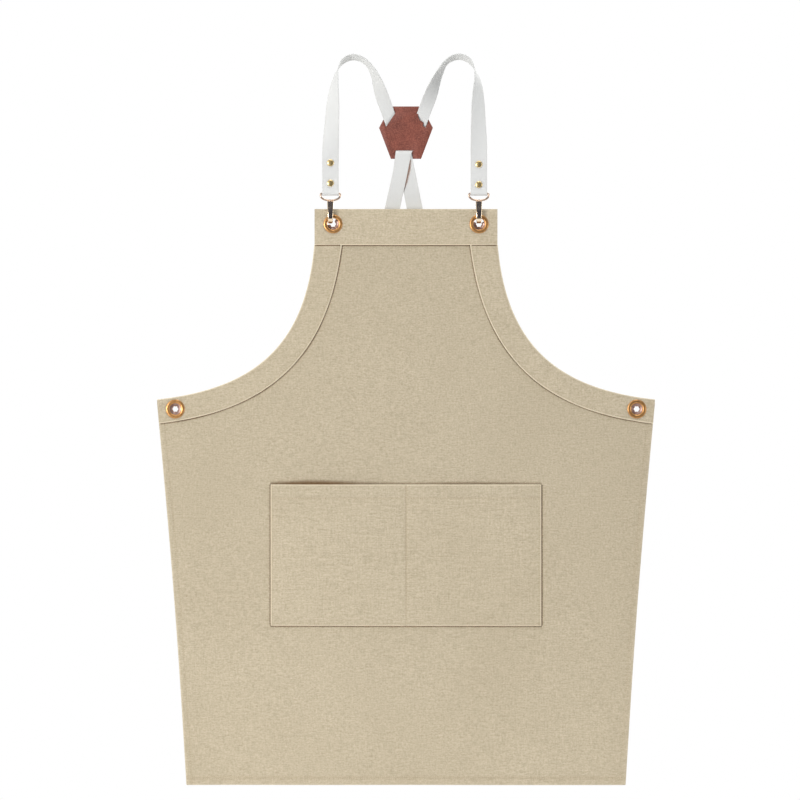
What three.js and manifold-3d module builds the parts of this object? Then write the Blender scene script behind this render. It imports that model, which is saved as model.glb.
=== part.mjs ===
// Cross-back bib apron of canvas, hanging by its two webbing shoulder straps.
// Millimetres, +Z up, the apron's front faces -Y and +X is on the viewer's right.
// The origin lies midway between the two strap arches, at the height of the pegs that carry them.
import * as THREE from "three";
import { mergeVertices } from "three/addons/utils/BufferGeometryUtils.js";
import Module from "manifold-3d";

const wasm = await Module();
wasm.setup();

// Cloth, webbing and leather.
const canvas = 1.2; // one ply
const gap = 0.3; // clearance between pieces that lie on each other
const webbing = 1.4; // strap thickness
const webbingWidth = 24;
const leather = 2.2;

// Apron outline.
const bibTop = -210;
const bibHalfWidth = 128;
const bandHeight = 50;
const waistHeight = -477;
const waistHalfWidth = 348.5;
const hemHeight = -1016;
const hemHalfWidth = 307;
const sideHem = 9.5;
const bottomHem = 10.5;
const facingWidthBib = 38;
const facingWidthWaist = 33;

// Pocket.
const pocketHalfWidth = 189;
const pocketTop = -596;
const pocketHeight = 197;
const pocketBulge = 6.6;

// Eyelets.
const eyeletHole = 8; // radius
const eyeletWall = 0.8;
const eyeletFlange = 13.2; // radius
const flangeThickness = 1.3;
const washerRadius = 12.6;
const washerThickness = 0.8;
const curlRadius = 10.6;
const curlThickness = 0.9;
const bibEyeletX = 102.2;
const bibEyeletDrop = 21; // below the bib's top edge
const waistEyeletInset = 25.5; // in from the waist corner
const waistEyeletDrop = 13;

// Snap hooks, each swivelling under a D-shaped loop.
const loopWire = 1.4; // radius
const loopHeight = 9.6;
const barClearance = 1.9; // side of the loop to the webbing's edge, wire included
const hookHalfWidth = 3.2;
const bendHalfWidth = 2.1;
const hookHalfDepth = 2.1;
const claspLength = 39.8; // loop bar to the middle of the hook's bend
const throatClearance = 2.2;
const hookRise = 2.8; // the bend's height over the eyelet's centre
const collarRadius = 3.7;
const postRadius = 1.3;
const headRadius = 2.1; // of the swivel post's head, inside the hook's collar
const headLength = 1.2;
const headDepth = 4.6; // loop crown to the head
const collarLength = 6.8;
const pinRadius = 0.8;
const lugRadius = 2.5;
const gateHalfWidth = 1.5;
const gateSlot = 1.8; // half width of the gate's slot in the lug
const tipRise = 2.4; // hook tip over the middle of the bend
const frontHooks = { left: -105.8, right: 102 };
const backHooks = { left: [-63, 17.15, -640], right: [59, 18.85, -640] };

// Riveted strap ends.
const foldLength = 50;
const foldMouth = 5.5; // height over the loop bar where the two plies close up
const rivetSpacing = 28.5;
const rivetCap = 4.75; // radius
const rivetBase = 4.3;
const rivetPost = 1.4;
const rivetDome = 1.5;
const rivetFlange = 0.9;
const lowerRivet = { left: 14.5, right: 12.5 }; // over the loop bar

// Leather cross patch, in its upright plane.
const patchFront = 21;
const patchTop = -65;
const patchBottom = -138.6;
const patchWaist = -95;
const patchHalfTop = 22;
const patchHalfWaist = 37.8;
const patchHalfBottom = 21.2;
const slotSlack = 0.5; // round a strap where it passes through
const archTilt = THREE.MathUtils.degToRad(16);

const bandBottom = bibTop - bandHeight;
const plyBack = canvas / 2 + gap; // inner face of a ply laid on the panel
const plyFront = plyBack + canvas;
const clothHole = eyeletHole + eyeletWall + gap;
const bibEyeletZ = bibTop - bibEyeletDrop;
const throat = plyFront + gap + flangeThickness + throatClearance + hookHalfDepth;
const frontBarZ = bibEyeletZ + hookRise + claspLength;

const looks = {
  canvas: { color: 0xc3b38f, roughness: 0.9, metalness: 0 },
  webbing: { color: 0xe6e4dd, roughness: 0.85, metalness: 0 },
  leather: { color: 0x8a4f42, roughness: 0.55, metalness: 0 },
  eyelet: { color: 0xb98a55, roughness: 0.3, metalness: 1 },
  hook: { color: 0xd9c49a, roughness: 0.15, metalness: 1 },
  rivet: { color: 0xc9a55c, roughness: 0.25, metalness: 1 },
  spring: { color: 0x9a9a9a, roughness: 0.4, metalness: 1 },
};

const apron = new THREE.Group();

// Solids.

function solidOf(geometry) {
  geometry.deleteAttribute("normal");
  geometry.deleteAttribute("uv");
  const merged = mergeVertices(geometry, 1e-4);
  return new wasm.Manifold(
    new wasm.Mesh({
      numProp: 3,
      vertProperties: merged.attributes.position.array,
      triVerts: new Uint32Array(merged.index.array),
    }),
  );
}

function geometryOf(solid) {
  const mesh = solid.getMesh();
  const geometry = new THREE.BufferGeometry();
  geometry.setAttribute("position", new THREE.BufferAttribute(mesh.vertProperties, 3));
  geometry.setIndex(new THREE.BufferAttribute(mesh.triVerts, 1));
  geometry.computeVertexNormals();
  return geometry;
}

function join(first, ...others) {
  return others.reduce((sum, other) => sum.add(other), first);
}

function cut(first, ...others) {
  return others.reduce((rest, other) => rest.subtract(other), first);
}

function add(name, solid, look, parent = apron) {
  const mesh = new THREE.Mesh(geometryOf(solid), new THREE.MeshStandardMaterial(looks[look]));
  mesh.name = name;
  parent.add(mesh);
}

// An upright plate: an outline of [x, z] points, from yLow to yHigh.
function plate(outline, yLow, yHigh) {
  const shape = new THREE.Shape(outline.map(([x, z]) => new THREE.Vector2(x, z)));
  const geometry = new THREE.ExtrudeGeometry(shape, { depth: yHigh - yLow, bevelEnabled: false });
  geometry.rotateX(Math.PI / 2);
  geometry.translate(0, yHigh, 0);
  return solidOf(geometry);
}

// A ring or a disc round the Y direction: profile points are [radius, y].
function turned(profile, x, z, segments = 16) {
  const points = profile.map(([r, y]) => new THREE.Vector2(r, y));
  const geometry = new THREE.LatheGeometry(points, segments);
  geometry.translate(x, 0, z);
  return solidOf(geometry);
}

function closed(profile) {
  return [...profile, profile[0]];
}

function box(low, high) {
  const size = low.map((value, i) => high[i] - value);
  const middle = low.map((value, i) => (value + high[i]) / 2);
  const geometry = new THREE.BoxGeometry(...size);
  geometry.translate(...middle);
  return solidOf(geometry);
}

function rod(radius, from, to, segments = 12) {
  const start = new THREE.Vector3(...from);
  const way = new THREE.Vector3(...to).sub(start);
  const geometry = new THREE.CylinderGeometry(radius, radius, way.length(), segments);
  const turn = new THREE.Quaternion().setFromUnitVectors(
    new THREE.Vector3(0, 1, 0),
    way.clone().normalize(),
  );
  geometry.applyQuaternion(turn);
  geometry.translate(...start.addScaledVector(way, 0.5).toArray());
  return solidOf(geometry);
}

// Bends a straight bar, one unit long in Y and two wide, along the frames that at(share) gives.
function bend(bar, at) {
  const place = bar.getAttribute("position");
  const vertex = new THREE.Vector3();
  for (let i = 0; i < place.count; i++) {
    vertex.fromBufferAttribute(place, i);
    const frame = at(Math.min(1, Math.max(0, vertex.y + 0.5)));
    const point = frame.point
      .clone()
      .addScaledVector(frame.across, vertex.x * frame.halfWidth)
      .addScaledVector(frame.up, vertex.z * frame.halfDepth);
    point.y += frame.shift ? frame.shift(point) : 0;
    place.setXYZ(i, point.x, point.y, point.z);
  }
  return solidOf(bar);
}

function frameOn(curve, share, across) {
  const tangent = curve.getTangent(share);
  const side = across.clone().addScaledVector(tangent, -across.dot(tangent)).normalize();
  return { point: curve.getPoint(share), across: side, up: side.clone().cross(tangent).normalize() };
}

// A round-edged wire along [y, z] points in the plane of x = 0.
function wire(points, steps, halfWidths, halfDepth, sides = 8) {
  const curve = new THREE.CatmullRomCurve3(points.map(([y, z]) => new THREE.Vector3(0, y, z)));
  const bar = new THREE.CylinderGeometry(1, 1, 1, sides, steps);
  return bend(bar, (share) => ({
    ...frameOn(curve, share, new THREE.Vector3(1, 0, 0)),
    halfWidth: THREE.MathUtils.lerp(halfWidths[0], halfWidths[1], share),
    halfDepth,
  }));
}

// Canvas pieces.

const armhole = new THREE.CubicBezierCurve(
  new THREE.Vector2(bibHalfWidth, bandBottom),
  new THREE.Vector2(bibHalfWidth + 12, bandBottom - 140),
  new THREE.Vector2(waistHalfWidth - 138.5, waistHeight + 15),
  new THREE.Vector2(waistHalfWidth, waistHeight),
);
const armholePoints = armhole.getPoints(14).map((p) => [p.x, p.y]);
const mirrored = (points) => points.map(([x, z]) => [-x, z]).reverse();
const panelTop = bibTop - canvas - gap;
const rightSide = [
  [hemHalfWidth, hemHeight],
  [waistHalfWidth, waistHeight],
  ...armholePoints.slice(0, -1).reverse(),
  [bibHalfWidth, panelTop],
];
const outline = [...rightSide, ...mirrored(rightSide)];
const waistEyeletX = waistHalfWidth - waistEyeletInset;
const waistEyeletZ = waistHeight - waistEyeletDrop;
const holes = [
  { place: "bib_left", x: -bibEyeletX, z: bibEyeletZ, back: plyFront },
  { place: "bib_right", x: bibEyeletX, z: bibEyeletZ, back: plyFront },
  { place: "waist_left", x: -waistEyeletX, z: waistEyeletZ, back: canvas / 2 },
  { place: "waist_right", x: waistEyeletX, z: waistEyeletZ, back: canvas / 2 },
];

function pierced(solid) {
  const reach = 5 * plyFront;
  const drills = holes.map(({ x, z }) => rod(clothHole, [x, -reach, z], [x, reach, z], 16));
  return cut(solid, ...drills);
}

function hemStrip(from, to, width, side) {
  const way = new THREE.Vector2(to[0] - from[0], to[1] - from[1]).normalize();
  const inward = ([x, z]) => [x - way.y * width * side, z + way.x * width * side];
  const strip = [from, to, inward(to), inward(from)];
  return plate(side > 0 ? strip : strip.reverse(), 0, canvas / 2 + canvas);
}

function makePanel() {
  const body = plate(outline, -canvas / 2, canvas / 2);
  const hem = [-hemHalfWidth, hemHalfWidth].map((x) => [x, hemHeight]);
  const waist = [-waistHalfWidth, waistHalfWidth].map((x) => [x, waistHeight]);
  const silhouette = plate(outline, -plyFront, 2 * plyFront);
  const hems = join(
    hemStrip(hem[0], hem[1], bottomHem, 1),
    hemStrip(hem[1], waist[1], sideHem, 1),
    hemStrip(hem[0], waist[0], sideHem, -1),
  ).intersect(silhouette);
  add("apron_panel", pierced(join(body, hems)), "canvas");
}

function makeBand() {
  const fold = plyFront;
  const profile = [
    [-plyFront, bandBottom],
    [-plyBack, bandBottom],
    [-plyBack, bibTop - canvas],
    [plyBack, bibTop - canvas],
    [plyBack, bandBottom],
    [plyFront, bandBottom],
    [plyFront, bibTop - fold],
    [plyFront / 2, bibTop - fold * 0.13],
    [0, bibTop],
    [-plyFront / 2, bibTop - fold * 0.13],
    [-plyFront, bibTop - fold],
  ];
  const shape = new THREE.Shape(profile.map(([y, z]) => new THREE.Vector2(y, z)));
  const geometry = new THREE.ExtrudeGeometry(shape, { depth: 2 * bibHalfWidth, bevelEnabled: false });
  // The shape's x becomes y, its y becomes z and the extrusion runs along x.
  const along = new THREE.Vector3(1, 0, 0);
  const frame = new THREE.Matrix4().makeBasis(new THREE.Vector3(0, 1, 0), new THREE.Vector3(0, 0, 1), along);
  geometry.applyMatrix4(frame.setPosition(-bibHalfWidth, 0, 0));
  add("bib_band", pierced(solidOf(geometry)), "canvas");
}

function makeFacing(name, side) {
  const steps = 14;
  const outer = [];
  const inner = [];
  for (let i = 0; i <= steps; i++) {
    const share = i / steps;
    const point = armhole.getPoint(share);
    const way = armhole.getTangent(share);
    const width = THREE.MathUtils.lerp(facingWidthBib, facingWidthWaist, share);
    outer.push([point.x - way.y * canvas, point.y + way.x * canvas]);
    inner.push([point.x + way.y * width, point.y - way.x * width]);
  }
  // Both ends run on past the band and the side edge, and are trimmed to them below.
  outer.unshift([outer[0][0], outer[0][1] + bandHeight]);
  inner.unshift([inner[0][0], inner[0][1] + bandHeight]);
  outer.push([outer.at(-1)[0] + sideHem, outer.at(-1)[1]]);
  inner.push([inner.at(-1)[0] + 2 * sideHem, inner.at(-1)[1]]);
  const strip = plate([...outer, ...inner.reverse()].reverse(), -plyFront, -plyBack);
  const trimmed = strip.intersect(plate(outline, -2 * plyFront, 0));
  const band = box([-1, -2 * plyFront, bandBottom - gap], [2 * bibHalfWidth, plyFront, bibTop]);
  const solid = pierced(side > 0 ? cut(trimmed, band) : cut(trimmed, band).mirror([1, 0, 0]));
  add(name, solid, "canvas");
}

// One patch, sewn down at its sides, bottom and middle, its two mouths a little open.
function makePocket() {
  const columns = 20;
  const rows = 5;
  const cloth = new THREE.BoxGeometry(2 * pocketHalfWidth, canvas, pocketHeight, columns, 1, rows);
  cloth.translate(0, -(plyFront + plyBack) / 2, pocketTop - pocketHeight / 2);
  const place = cloth.getAttribute("position");
  for (let i = 0; i < place.count; i++) {
    const along = Math.abs(place.getX(i)) / pocketHalfWidth;
    const down = (pocketTop - place.getZ(i)) / pocketHeight;
    const open = Math.sin(Math.PI * Math.min(1, along)) ** 0.6 || 0;
    const fade = Math.max(0, 1 - Math.min(1, Math.max(0, down)) ** 2.5);
    place.setY(i, place.getY(i) - pocketBulge * open * fade);
  }
  add("pocket", solidOf(cloth), "canvas");
}

// Eyelets: a flanged barrel, curled over a washer behind the cloth.
function makeEyelet({ place, x, z, back }) {
  const front = -plyFront - gap;
  const face = front - flangeThickness;
  const seat = back + gap;
  const curl = seat + washerThickness + gap;
  const barrel = eyeletHole + eyeletWall;
  const profile = [
    [eyeletHole + 0.6, face],
    [eyeletFlange - 2.4, face],
    [eyeletFlange - 0.8, face + 0.35],
    [eyeletFlange, front - 0.35],
    [eyeletFlange, front],
    [barrel, front],
    [barrel, curl],
    [curlRadius, curl],
    [curlRadius - 0.3, curl + curlThickness],
    [eyeletHole + 0.5, curl + curlThickness],
    [eyeletHole, curl + 0.4],
    [eyeletHole, face + 0.6],
  ];
  const washer = [
    [barrel + gap, seat],
    [washerRadius, seat],
    [washerRadius, seat + washerThickness],
    [barrel + gap, seat + washerThickness],
  ];
  add(`eyelet_${place}`, turned(closed(profile), x, z, 20), "eyelet");
  add(`eyelet_washer_${place}`, turned(closed(washer), x, z), "eyelet");
}

// Snap hooks. Each is made with its loop bar on the X axis and hangs down from it.

function makeLoop() {
  const side = webbingWidth / 2 - 0.2 + barClearance;
  const half = [
    [side - 1.9, 0],
    [side - 0.5, -0.6],
    [side, -2.4],
    [side - 0.7, -5],
    [side - 3.8, -loopHeight + 1.9],
    [side * 0.36, -loopHeight + 0.4],
  ];
  const ring = [[0, 0], ...half, [0, -loopHeight], ...mirrored(half)];
  const curve = new THREE.CatmullRomCurve3(
    ring.map(([x, z]) => new THREE.Vector3(x, 0, z)),
    true,
  );
  const wireRing = solidOf(new THREE.TubeGeometry(curve, 32, loopWire, 6, true));
  const crown = -loopHeight - loopWire;
  const headTop = crown - headDepth;
  return join(
    wireRing.volume() < 0 ? wireRing.mirror([0, 1, 0]) : wireRing,
    rod(headRadius, [0, 0, crown + 2.4], [0, 0, crown]),
    rod(postRadius, [0, 0, crown + 1], [0, 0, headTop - 0.5]),
    rod(headRadius, [0, 0, headTop], [0, 0, headTop - headLength]),
  );
}

const collarTop = -loopHeight - loopWire - gap;
const collarBottom = collarTop - collarLength;
const pivot = [6.4, collarBottom - 2.6]; // [y, z] of the gate's pin
const pinDrill = rod(pinRadius + gap, [-9, ...pivot], [9, ...pivot], 8);

function makeHook() {
  const middle = throat - claspLength;
  const bendPoints = [];
  for (let i = 0; i <= 6; i++) {
    const angle = Math.PI * (1 + i / 6);
    bendPoints.push([throat * Math.cos(angle), middle + throat * Math.sin(angle)]);
  }
  const spine = wire(
    [
      [-0.2, collarBottom + 2],
      [-2.6, collarBottom - 0.4],
      [-throat + 1.6, collarBottom - 3.6],
      [-throat, collarBottom - 8],
      ...bendPoints,
      [throat, middle + tipRise],
    ],
    18,
    [hookHalfWidth, bendHalfWidth],
    hookHalfDepth,
  );
  const lugBar = wire(
    [[0.2, collarBottom + 2], [3.2, collarBottom - 0.2], pivot],
    6,
    [hookHalfWidth, hookHalfWidth],
    hookHalfDepth,
  );
  const lugEnd = rod(lugRadius, [-hookHalfWidth, ...pivot], [hookHalfWidth, ...pivot]);
  const slot = box([-gateSlot, 3.3, pivot[1] - 5], [gateSlot, 12, pivot[1] + 3]);
  const bore = postRadius + gap;
  const cavity = headRadius + gap;
  const headTop = collarTop + gap - headDepth;
  return cut(
    join(rod(collarRadius, [0, 0, collarTop], [0, 0, collarBottom], 16), spine, lugBar, lugEnd),
    slot,
    rod(bore, [0, 0, collarTop + 1], [0, 0, headTop]),
    rod(cavity, [0, 0, headTop + gap], [0, 0, headTop - headLength - gap]),
    pinDrill,
  );
}

function makeGate() {
  const tip = throat - claspLength + tipRise + gap;
  const lever = wire(
    [
      [pivot[0] + 0.1, pivot[1] - 0.8],
      [pivot[0] + 0.7, (pivot[1] + tip) / 2],
      [throat, tip],
    ],
    6,
    [gateHalfWidth, gateHalfWidth],
    1,
  );
  const root = rod(1.9, [-gateHalfWidth, ...pivot], [gateHalfWidth, ...pivot]);
  return cut(join(lever, root), pinDrill);
}

function makeSpring() {
  return wire(
    [
      [3.8, pivot[1] + 1.2],
      [4, pivot[1] - 2.4],
      [5.2, pivot[1] - 4.6],
    ],
    6,
    [1, 1],
    0.25,
    6,
  );
}

// The hook turns with its gate about the swivel; the loop stays square to its strap.
function makeClasp(place, at, turn) {
  const clasp = new THREE.Group();
  clasp.position.set(...at);
  const swivel = new THREE.Group();
  swivel.rotation.z = turn;
  clasp.add(swivel);
  apron.add(clasp);
  add(`loop_${place}`, makeLoop(), "hook", clasp);
  add(`hook_${place}`, makeHook(), "hook", swivel);
  add(`gate_${place}`, makeGate(), "hook", swivel);
  const pinEnds = [-hookHalfWidth, hookHalfWidth].map((x) => [x, ...pivot]);
  add(`gate_pin_${place}`, rod(pinRadius, ...pinEnds, 8), "hook", swivel);
  add(`gate_spring_${place}`, makeSpring(), "spring", swivel);
}

// Straps. A row is [x, y, z, turn in degrees, width]: a turn of 0 lies across the apron, and of
// -90 on its edge over the peg. The webbing is squeezed where it goes through the patch.

const narrow = 18.5;
const frontPly = (webbing + gap) / 2;

// From the cut end, down one side of the loop bar, round it and up the other side. The plies
// close up over the bar: shut gives [height over the bar, half the distance between the plies].
function foldRows([x, y, z], facing) {
  const round = loopWire + gap + webbing / 2;
  const shut = [
    [foldMouth, frontPly + 0.3],
    [foldMouth + 2.5, frontPly],
    [foldMouth + 6, frontPly],
    [foldLength * 0.6, frontPly],
    [foldLength, frontPly],
  ];
  const rows = shut.map(([rise, half]) => [x, y - facing * half, z + rise]).reverse();
  for (let i = 0; i <= 6; i++) {
    const angle = (Math.PI * i) / 6;
    rows.push([x, y - facing * round * Math.cos(angle), z - round * Math.sin(angle)]);
  }
  rows.push(...shut.map(([rise, half]) => [x, y + facing * half, z + rise]));
  return rows.map((row) => [...row, 0, webbingWidth - 0.4]);
}

const routes = {
  left: [
    [-105.4, -0.7, -122, -10, webbingWidth],
    [-104.8, -0.2, -108, -22, webbingWidth],
    [-103.8, 0.6, -91, -31, webbingWidth],
    [-102.4, 2.6, -62, -42, webbingWidth],
    [-101.2, 5, -44, -55, webbingWidth],
    [-99.5, 7, -30, -66, webbingWidth],
    [-96.8, 8.5, -17, -78, webbingWidth],
    [-90.5, 9.6, -4.6, -88, webbingWidth],
    [-83, 10, 1.2, -90, webbingWidth],
    [-75.5, 10.4, 3.4, -90, webbingWidth],
    [-68, 10.8, 2.6, -90, webbingWidth],
    [-60, 11.6, -0.8, -90, webbingWidth],
    [-52.5, 13, -7, -86, webbingWidth],
    [-46.5, 14.6, -15.5, -76, webbingWidth],
    [-42, 16, -25.5, -64, 23],
    [-37.5, 17.6, -39, -44, 22],
    [-33.2, 18.8, -52, -22, 20.5],
    [-28.5, 19.6, -65, -5, 19],
    [-25, 19.7, -75, 0, narrow],
    [-21.7, 19.7, -84, 0, narrow],
    [-18.2, 19.7, -93, 0, narrow],
    [-14.5, 19.7, -102, 0, 19.5],
    [-9, 19.7, -115, 0, 21],
    [-5, 19.7, -125, 0, 21.5],
    [-3.2, 19.7, -131, 0, 21.5],
    [-1.8, 19.7, -137, 0, 21.5],
    [2, 19.7, -155, 0, 21.5],
    [11.7, 19.7, -206, 0, 22.5],
    [21.5, 19.7, -255, 0, 23.5],
    [33, 19.7, -320, 0, webbingWidth],
    [45, 19.7, -400, 0, webbingWidth],
    [53.5, 19.7, -480, 0, webbingWidth],
    [58, 19.7, -550, 0, webbingWidth],
  ],
  right: [
    [102, -0.7, -122, 10, webbingWidth],
    [101.8, -0.2, -108, 20, webbingWidth],
    [101.4, 0.6, -91, 28, webbingWidth],
    [101, 2.6, -62, 40, webbingWidth],
    [101, 5, -44, 52, webbingWidth],
    [100.4, 7, -30, 66, webbingWidth],
    [97.6, 8.5, -17, 78, webbingWidth],
    [91.5, 9.6, -4.6, 88, webbingWidth],
    [84, 10, 1.6, 90, webbingWidth],
    [76, 10.4, 4, 90, webbingWidth],
    [68, 10.8, 3, 90, webbingWidth],
    [60, 11.6, -0.8, 90, webbingWidth],
    [53.5, 13, -7, 86, webbingWidth],
    [48.5, 14.6, -15.5, 76, webbingWidth],
    [43.5, 16, -25.5, 64, 23],
    [38.2, 17.6, -39, 44, 22],
    [33.6, 18.8, -52, 22, 20.5],
    [28.6, 19.6, -65, 5, 19],
    [25, 19.7, -75, 0, narrow],
    [21.7, 19.7, -84, 0, narrow],
    [18.2, 19.7, -93, 0, narrow],
    [13.6, 19.7, -102, 0, 19.5],
    [5, 19.7, -115, 0, 21.5],
    [-1.8, 19.7, -125, 0, 22.5],
    [-3.6, 19.7, -131, 0, 22.5],
    [-4.6, 19.7, -137, 0, 22],
    [-7.6, 19.7, -155, 0, 21],
    [-18.6, 19.7, -206, 0, 21.5],
    [-28.5, 19.7, -255, 0, 23.5],
    [-40, 19.7, -320, 0, webbingWidth],
    [-51.5, 19.7, -400, 0, webbingWidth],
    [-59, 19.7, -480, 0, webbingWidth],
    [-62.2, 19.7, -550, 0, webbingWidth],
  ],
};

// Where each strap changes depth: behind the patch along its slanted slot, and forward again
// through the level slot. past is the direction in which the strap crosses the slot's line.
const slots = {
  left: [
    { at: [-21.7, -85], past: [0.822, -0.569], by: 6.3, half: 3 },
    { at: [0, -131], past: [0, -1], by: -6.3, half: 3 },
  ],
  right: [
    { at: [21.7, -85], past: [-0.822, -0.569], by: 4.5, half: 3 },
    { at: [0, -128], past: [0, -1], by: -6.2, half: 3 },
  ],
};
const pastArch = -50; // the slots lie below this height
const backFrom = 0.3; // and beyond this share of the strap

function depthShift(side, share, point) {
  if (share < backFrom || point.z > pastArch) return 0;
  return slots[side].reduce((sum, { at, past, by, half }) => {
    const distance = (point.x - at[0]) * past[0] + (point.z - at[1]) * past[1];
    return sum + by * THREE.MathUtils.smoothstep(distance, -half, half);
  }, 0);
}

function strapRows(side) {
  const other = side === "left" ? "right" : "left";
  const front = foldRows([frontHooks[side], 0, frontBarZ], -1);
  const back = foldRows(backHooks[other], 1).reverse();
  // The back rows are at their true depth, so the slots' shift is taken off again.
  const total = slots[side].reduce((sum, slot) => sum + slot.by, 0);
  const settled = back.map(([x, y, z, turn, width]) => [x, y - total, z, turn, width]);
  return [...front, ...routes[side], ...settled];
}

function ribbon(side, extra) {
  const rows = strapRows(side);
  const curve = new THREE.CatmullRomCurve3(
    rows.map(([x, y, z]) => new THREE.Vector3(x, y, z)),
    false,
    "centripetal",
  );
  const spans = rows.length - 1;
  const bar = new THREE.BoxGeometry(2, 1, 2, 2, 2 * spans, 1);
  return bend(bar, (share) => {
    const at = Math.min(spans - 1e-6, share * spans);
    const row = rows[Math.floor(at)];
    const next = rows[Math.floor(at) + 1];
    const turn = THREE.MathUtils.degToRad(THREE.MathUtils.lerp(row[3], next[3], at % 1));
    const across = new THREE.Vector3(
      Math.cos(turn),
      Math.sin(turn) * Math.cos(archTilt),
      -Math.sin(turn) * Math.sin(archTilt),
    );
    return {
      ...frameOn(curve, share, across),
      halfWidth: THREE.MathUtils.lerp(row[4], next[4], at % 1) / 2 + extra,
      halfDepth: webbing / 2 + extra,
      shift: (point) => depthShift(side, share, point),
    };
  });
}

function rivetPlaces(side) {
  const other = side === "left" ? "right" : "left";
  const places = [];
  const [x, y, z] = backHooks[other];
  for (const level of ["lower", "upper"]) {
    const rise = lowerRivet[side] + (level === "upper" ? rivetSpacing : 0);
    places.push({ name: `front_${side}_${level}`, at: [frontHooks[side], 0, frontBarZ + rise], turn: 0 });
    places.push({ name: `back_${other}_${level}`, at: [x, y, z + rise], turn: Math.PI });
  }
  return places;
}

function makeStrap(side) {
  const drills = rivetPlaces(side).map(({ at: [x, y, z] }) =>
    rod(rivetPost + gap, [x, y - 5, z], [x, y + 5, z], 10),
  );
  add(`strap_${side}`, cut(ribbon(side, 0), ...drills), "webbing");
}

// A domed cap with its post through both plies, and a base ring on the wearer's side.
function makeRivets(side) {
  const seat = webbing + gap / 2 + gap;
  const face = -seat - rivetDome;
  const end = seat + rivetFlange;
  const cap = [
    [0, face],
    [rivetCap * 0.5, face + 0.2],
    [rivetCap * 0.86, face + 0.75],
    [rivetCap, -seat - 0.25],
    [rivetCap, -seat],
    [rivetPost, -seat],
    [rivetPost, end],
    [0, end],
  ];
  const base = [
    [rivetPost + gap, seat],
    [rivetBase, seat],
    [rivetBase - 0.3, end],
    [rivetPost + gap, end],
  ];
  for (const { name, at, turn } of rivetPlaces(side)) {
    const group = new THREE.Group();
    group.position.set(...at);
    group.rotation.z = turn;
    apron.add(group);
    add(`rivet_cap_${name}`, turned(cap, 0, 0, 12), "rivet", group);
    add(`rivet_base_${name}`, turned(closed(base), 0, 0, 12), "rivet", group);
  }
}

function makePatch() {
  const right = [
    [patchHalfBottom, patchBottom],
    [patchHalfWaist, patchWaist],
    [patchHalfTop, patchTop],
  ];
  const blank = plate([...right, ...mirrored(right)], patchFront, patchFront + leather);
  add("leather_patch", cut(blank, ribbon("left", slotSlack), ribbon("right", slotSlack)), "leather");
}

makePanel();
makeBand();
makeFacing("armhole_facing_left", -1);
makeFacing("armhole_facing_right", 1);
makePocket();
for (const hole of holes) makeEyelet(hole);
for (const side of ["left", "right"]) {
  makeClasp(`front_${side}`, [frontHooks[side], 0, frontBarZ], 0);
  makeClasp(`back_${side}`, backHooks[side], Math.PI / 2);
  makeStrap(side);
  makeRivets(side);
}
makePatch();

export default apron;
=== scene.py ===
import math

import bpy
import numpy as np
from mathutils import Matrix, Vector


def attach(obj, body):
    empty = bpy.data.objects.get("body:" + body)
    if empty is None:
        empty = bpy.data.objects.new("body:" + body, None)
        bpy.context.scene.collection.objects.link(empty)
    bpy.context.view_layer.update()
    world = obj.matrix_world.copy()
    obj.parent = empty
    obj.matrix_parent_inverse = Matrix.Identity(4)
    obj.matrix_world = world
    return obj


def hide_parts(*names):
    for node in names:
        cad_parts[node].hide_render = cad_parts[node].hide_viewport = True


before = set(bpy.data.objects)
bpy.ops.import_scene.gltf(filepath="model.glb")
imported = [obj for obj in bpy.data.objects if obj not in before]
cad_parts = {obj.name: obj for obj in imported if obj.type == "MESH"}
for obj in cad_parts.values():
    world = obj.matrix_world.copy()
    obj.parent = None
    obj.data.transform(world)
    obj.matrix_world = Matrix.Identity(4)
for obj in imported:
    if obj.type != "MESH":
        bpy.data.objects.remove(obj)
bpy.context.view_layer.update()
mm = 0.001
tau = 2 * math.pi

# Camera, light and world

view = {"lens": 200, "across": 1.12, "x": -0.0084, "z": -0.4774}


def setCamera():
    away = view["across"] * view["lens"] / 36
    bpy.ops.object.camera_add(location=(view["x"], -away, view["z"]), rotation=(math.pi / 2, 0, 0))
    camera = bpy.context.object
    camera.data.lens = view["lens"]
    camera.data.clip_end = 100
    bpy.context.scene.camera = camera


lamps = {
    "key": {"at": (-2.2, -2.6, -0.35), "size": 1.2, "power": 80, "colour": (1, 0.99, 0.985)},
    "fill": {"at": (2.9, -3.0, -0.9), "size": 1.6, "power": 7, "colour": (0.98, 0.99, 1)},
    "side": {"at": (2.9, -0.5, -0.5), "size": 1.4, "power": 26, "colour": (0.98, 0.99, 1)},
    "top": {"at": (0.1, -0.9, 1.7), "size": 1.4, "power": 24, "colour": (1, 1, 1)},
    "back": {"at": (0.8, 3.4, 0.6), "size": 2.4, "power": 95, "colour": (1, 1, 1)},
}
room = {
    "aim": (0, 0, -0.5),
    "seen": (1, 1, 1),
    "around": (0.84, 0.84, 0.84),
    "dark": (0.035, 0.04, 0.07),
    "from": 0.1,
    "to": 0.32,
}


def setLight():
    for name, lamp in lamps.items():
        towards = Vector(room["aim"]) - Vector(lamp["at"])
        turn = towards.to_track_quat("-Z", "Y").to_euler()
        bpy.ops.object.light_add(type="AREA", location=lamp["at"], rotation=turn)
        light = bpy.context.object
        light.name = name + "_light"
        light.data.size = lamp["size"]
        light.data.energy = lamp["power"]
        light.data.color = lamp["colour"]


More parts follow.
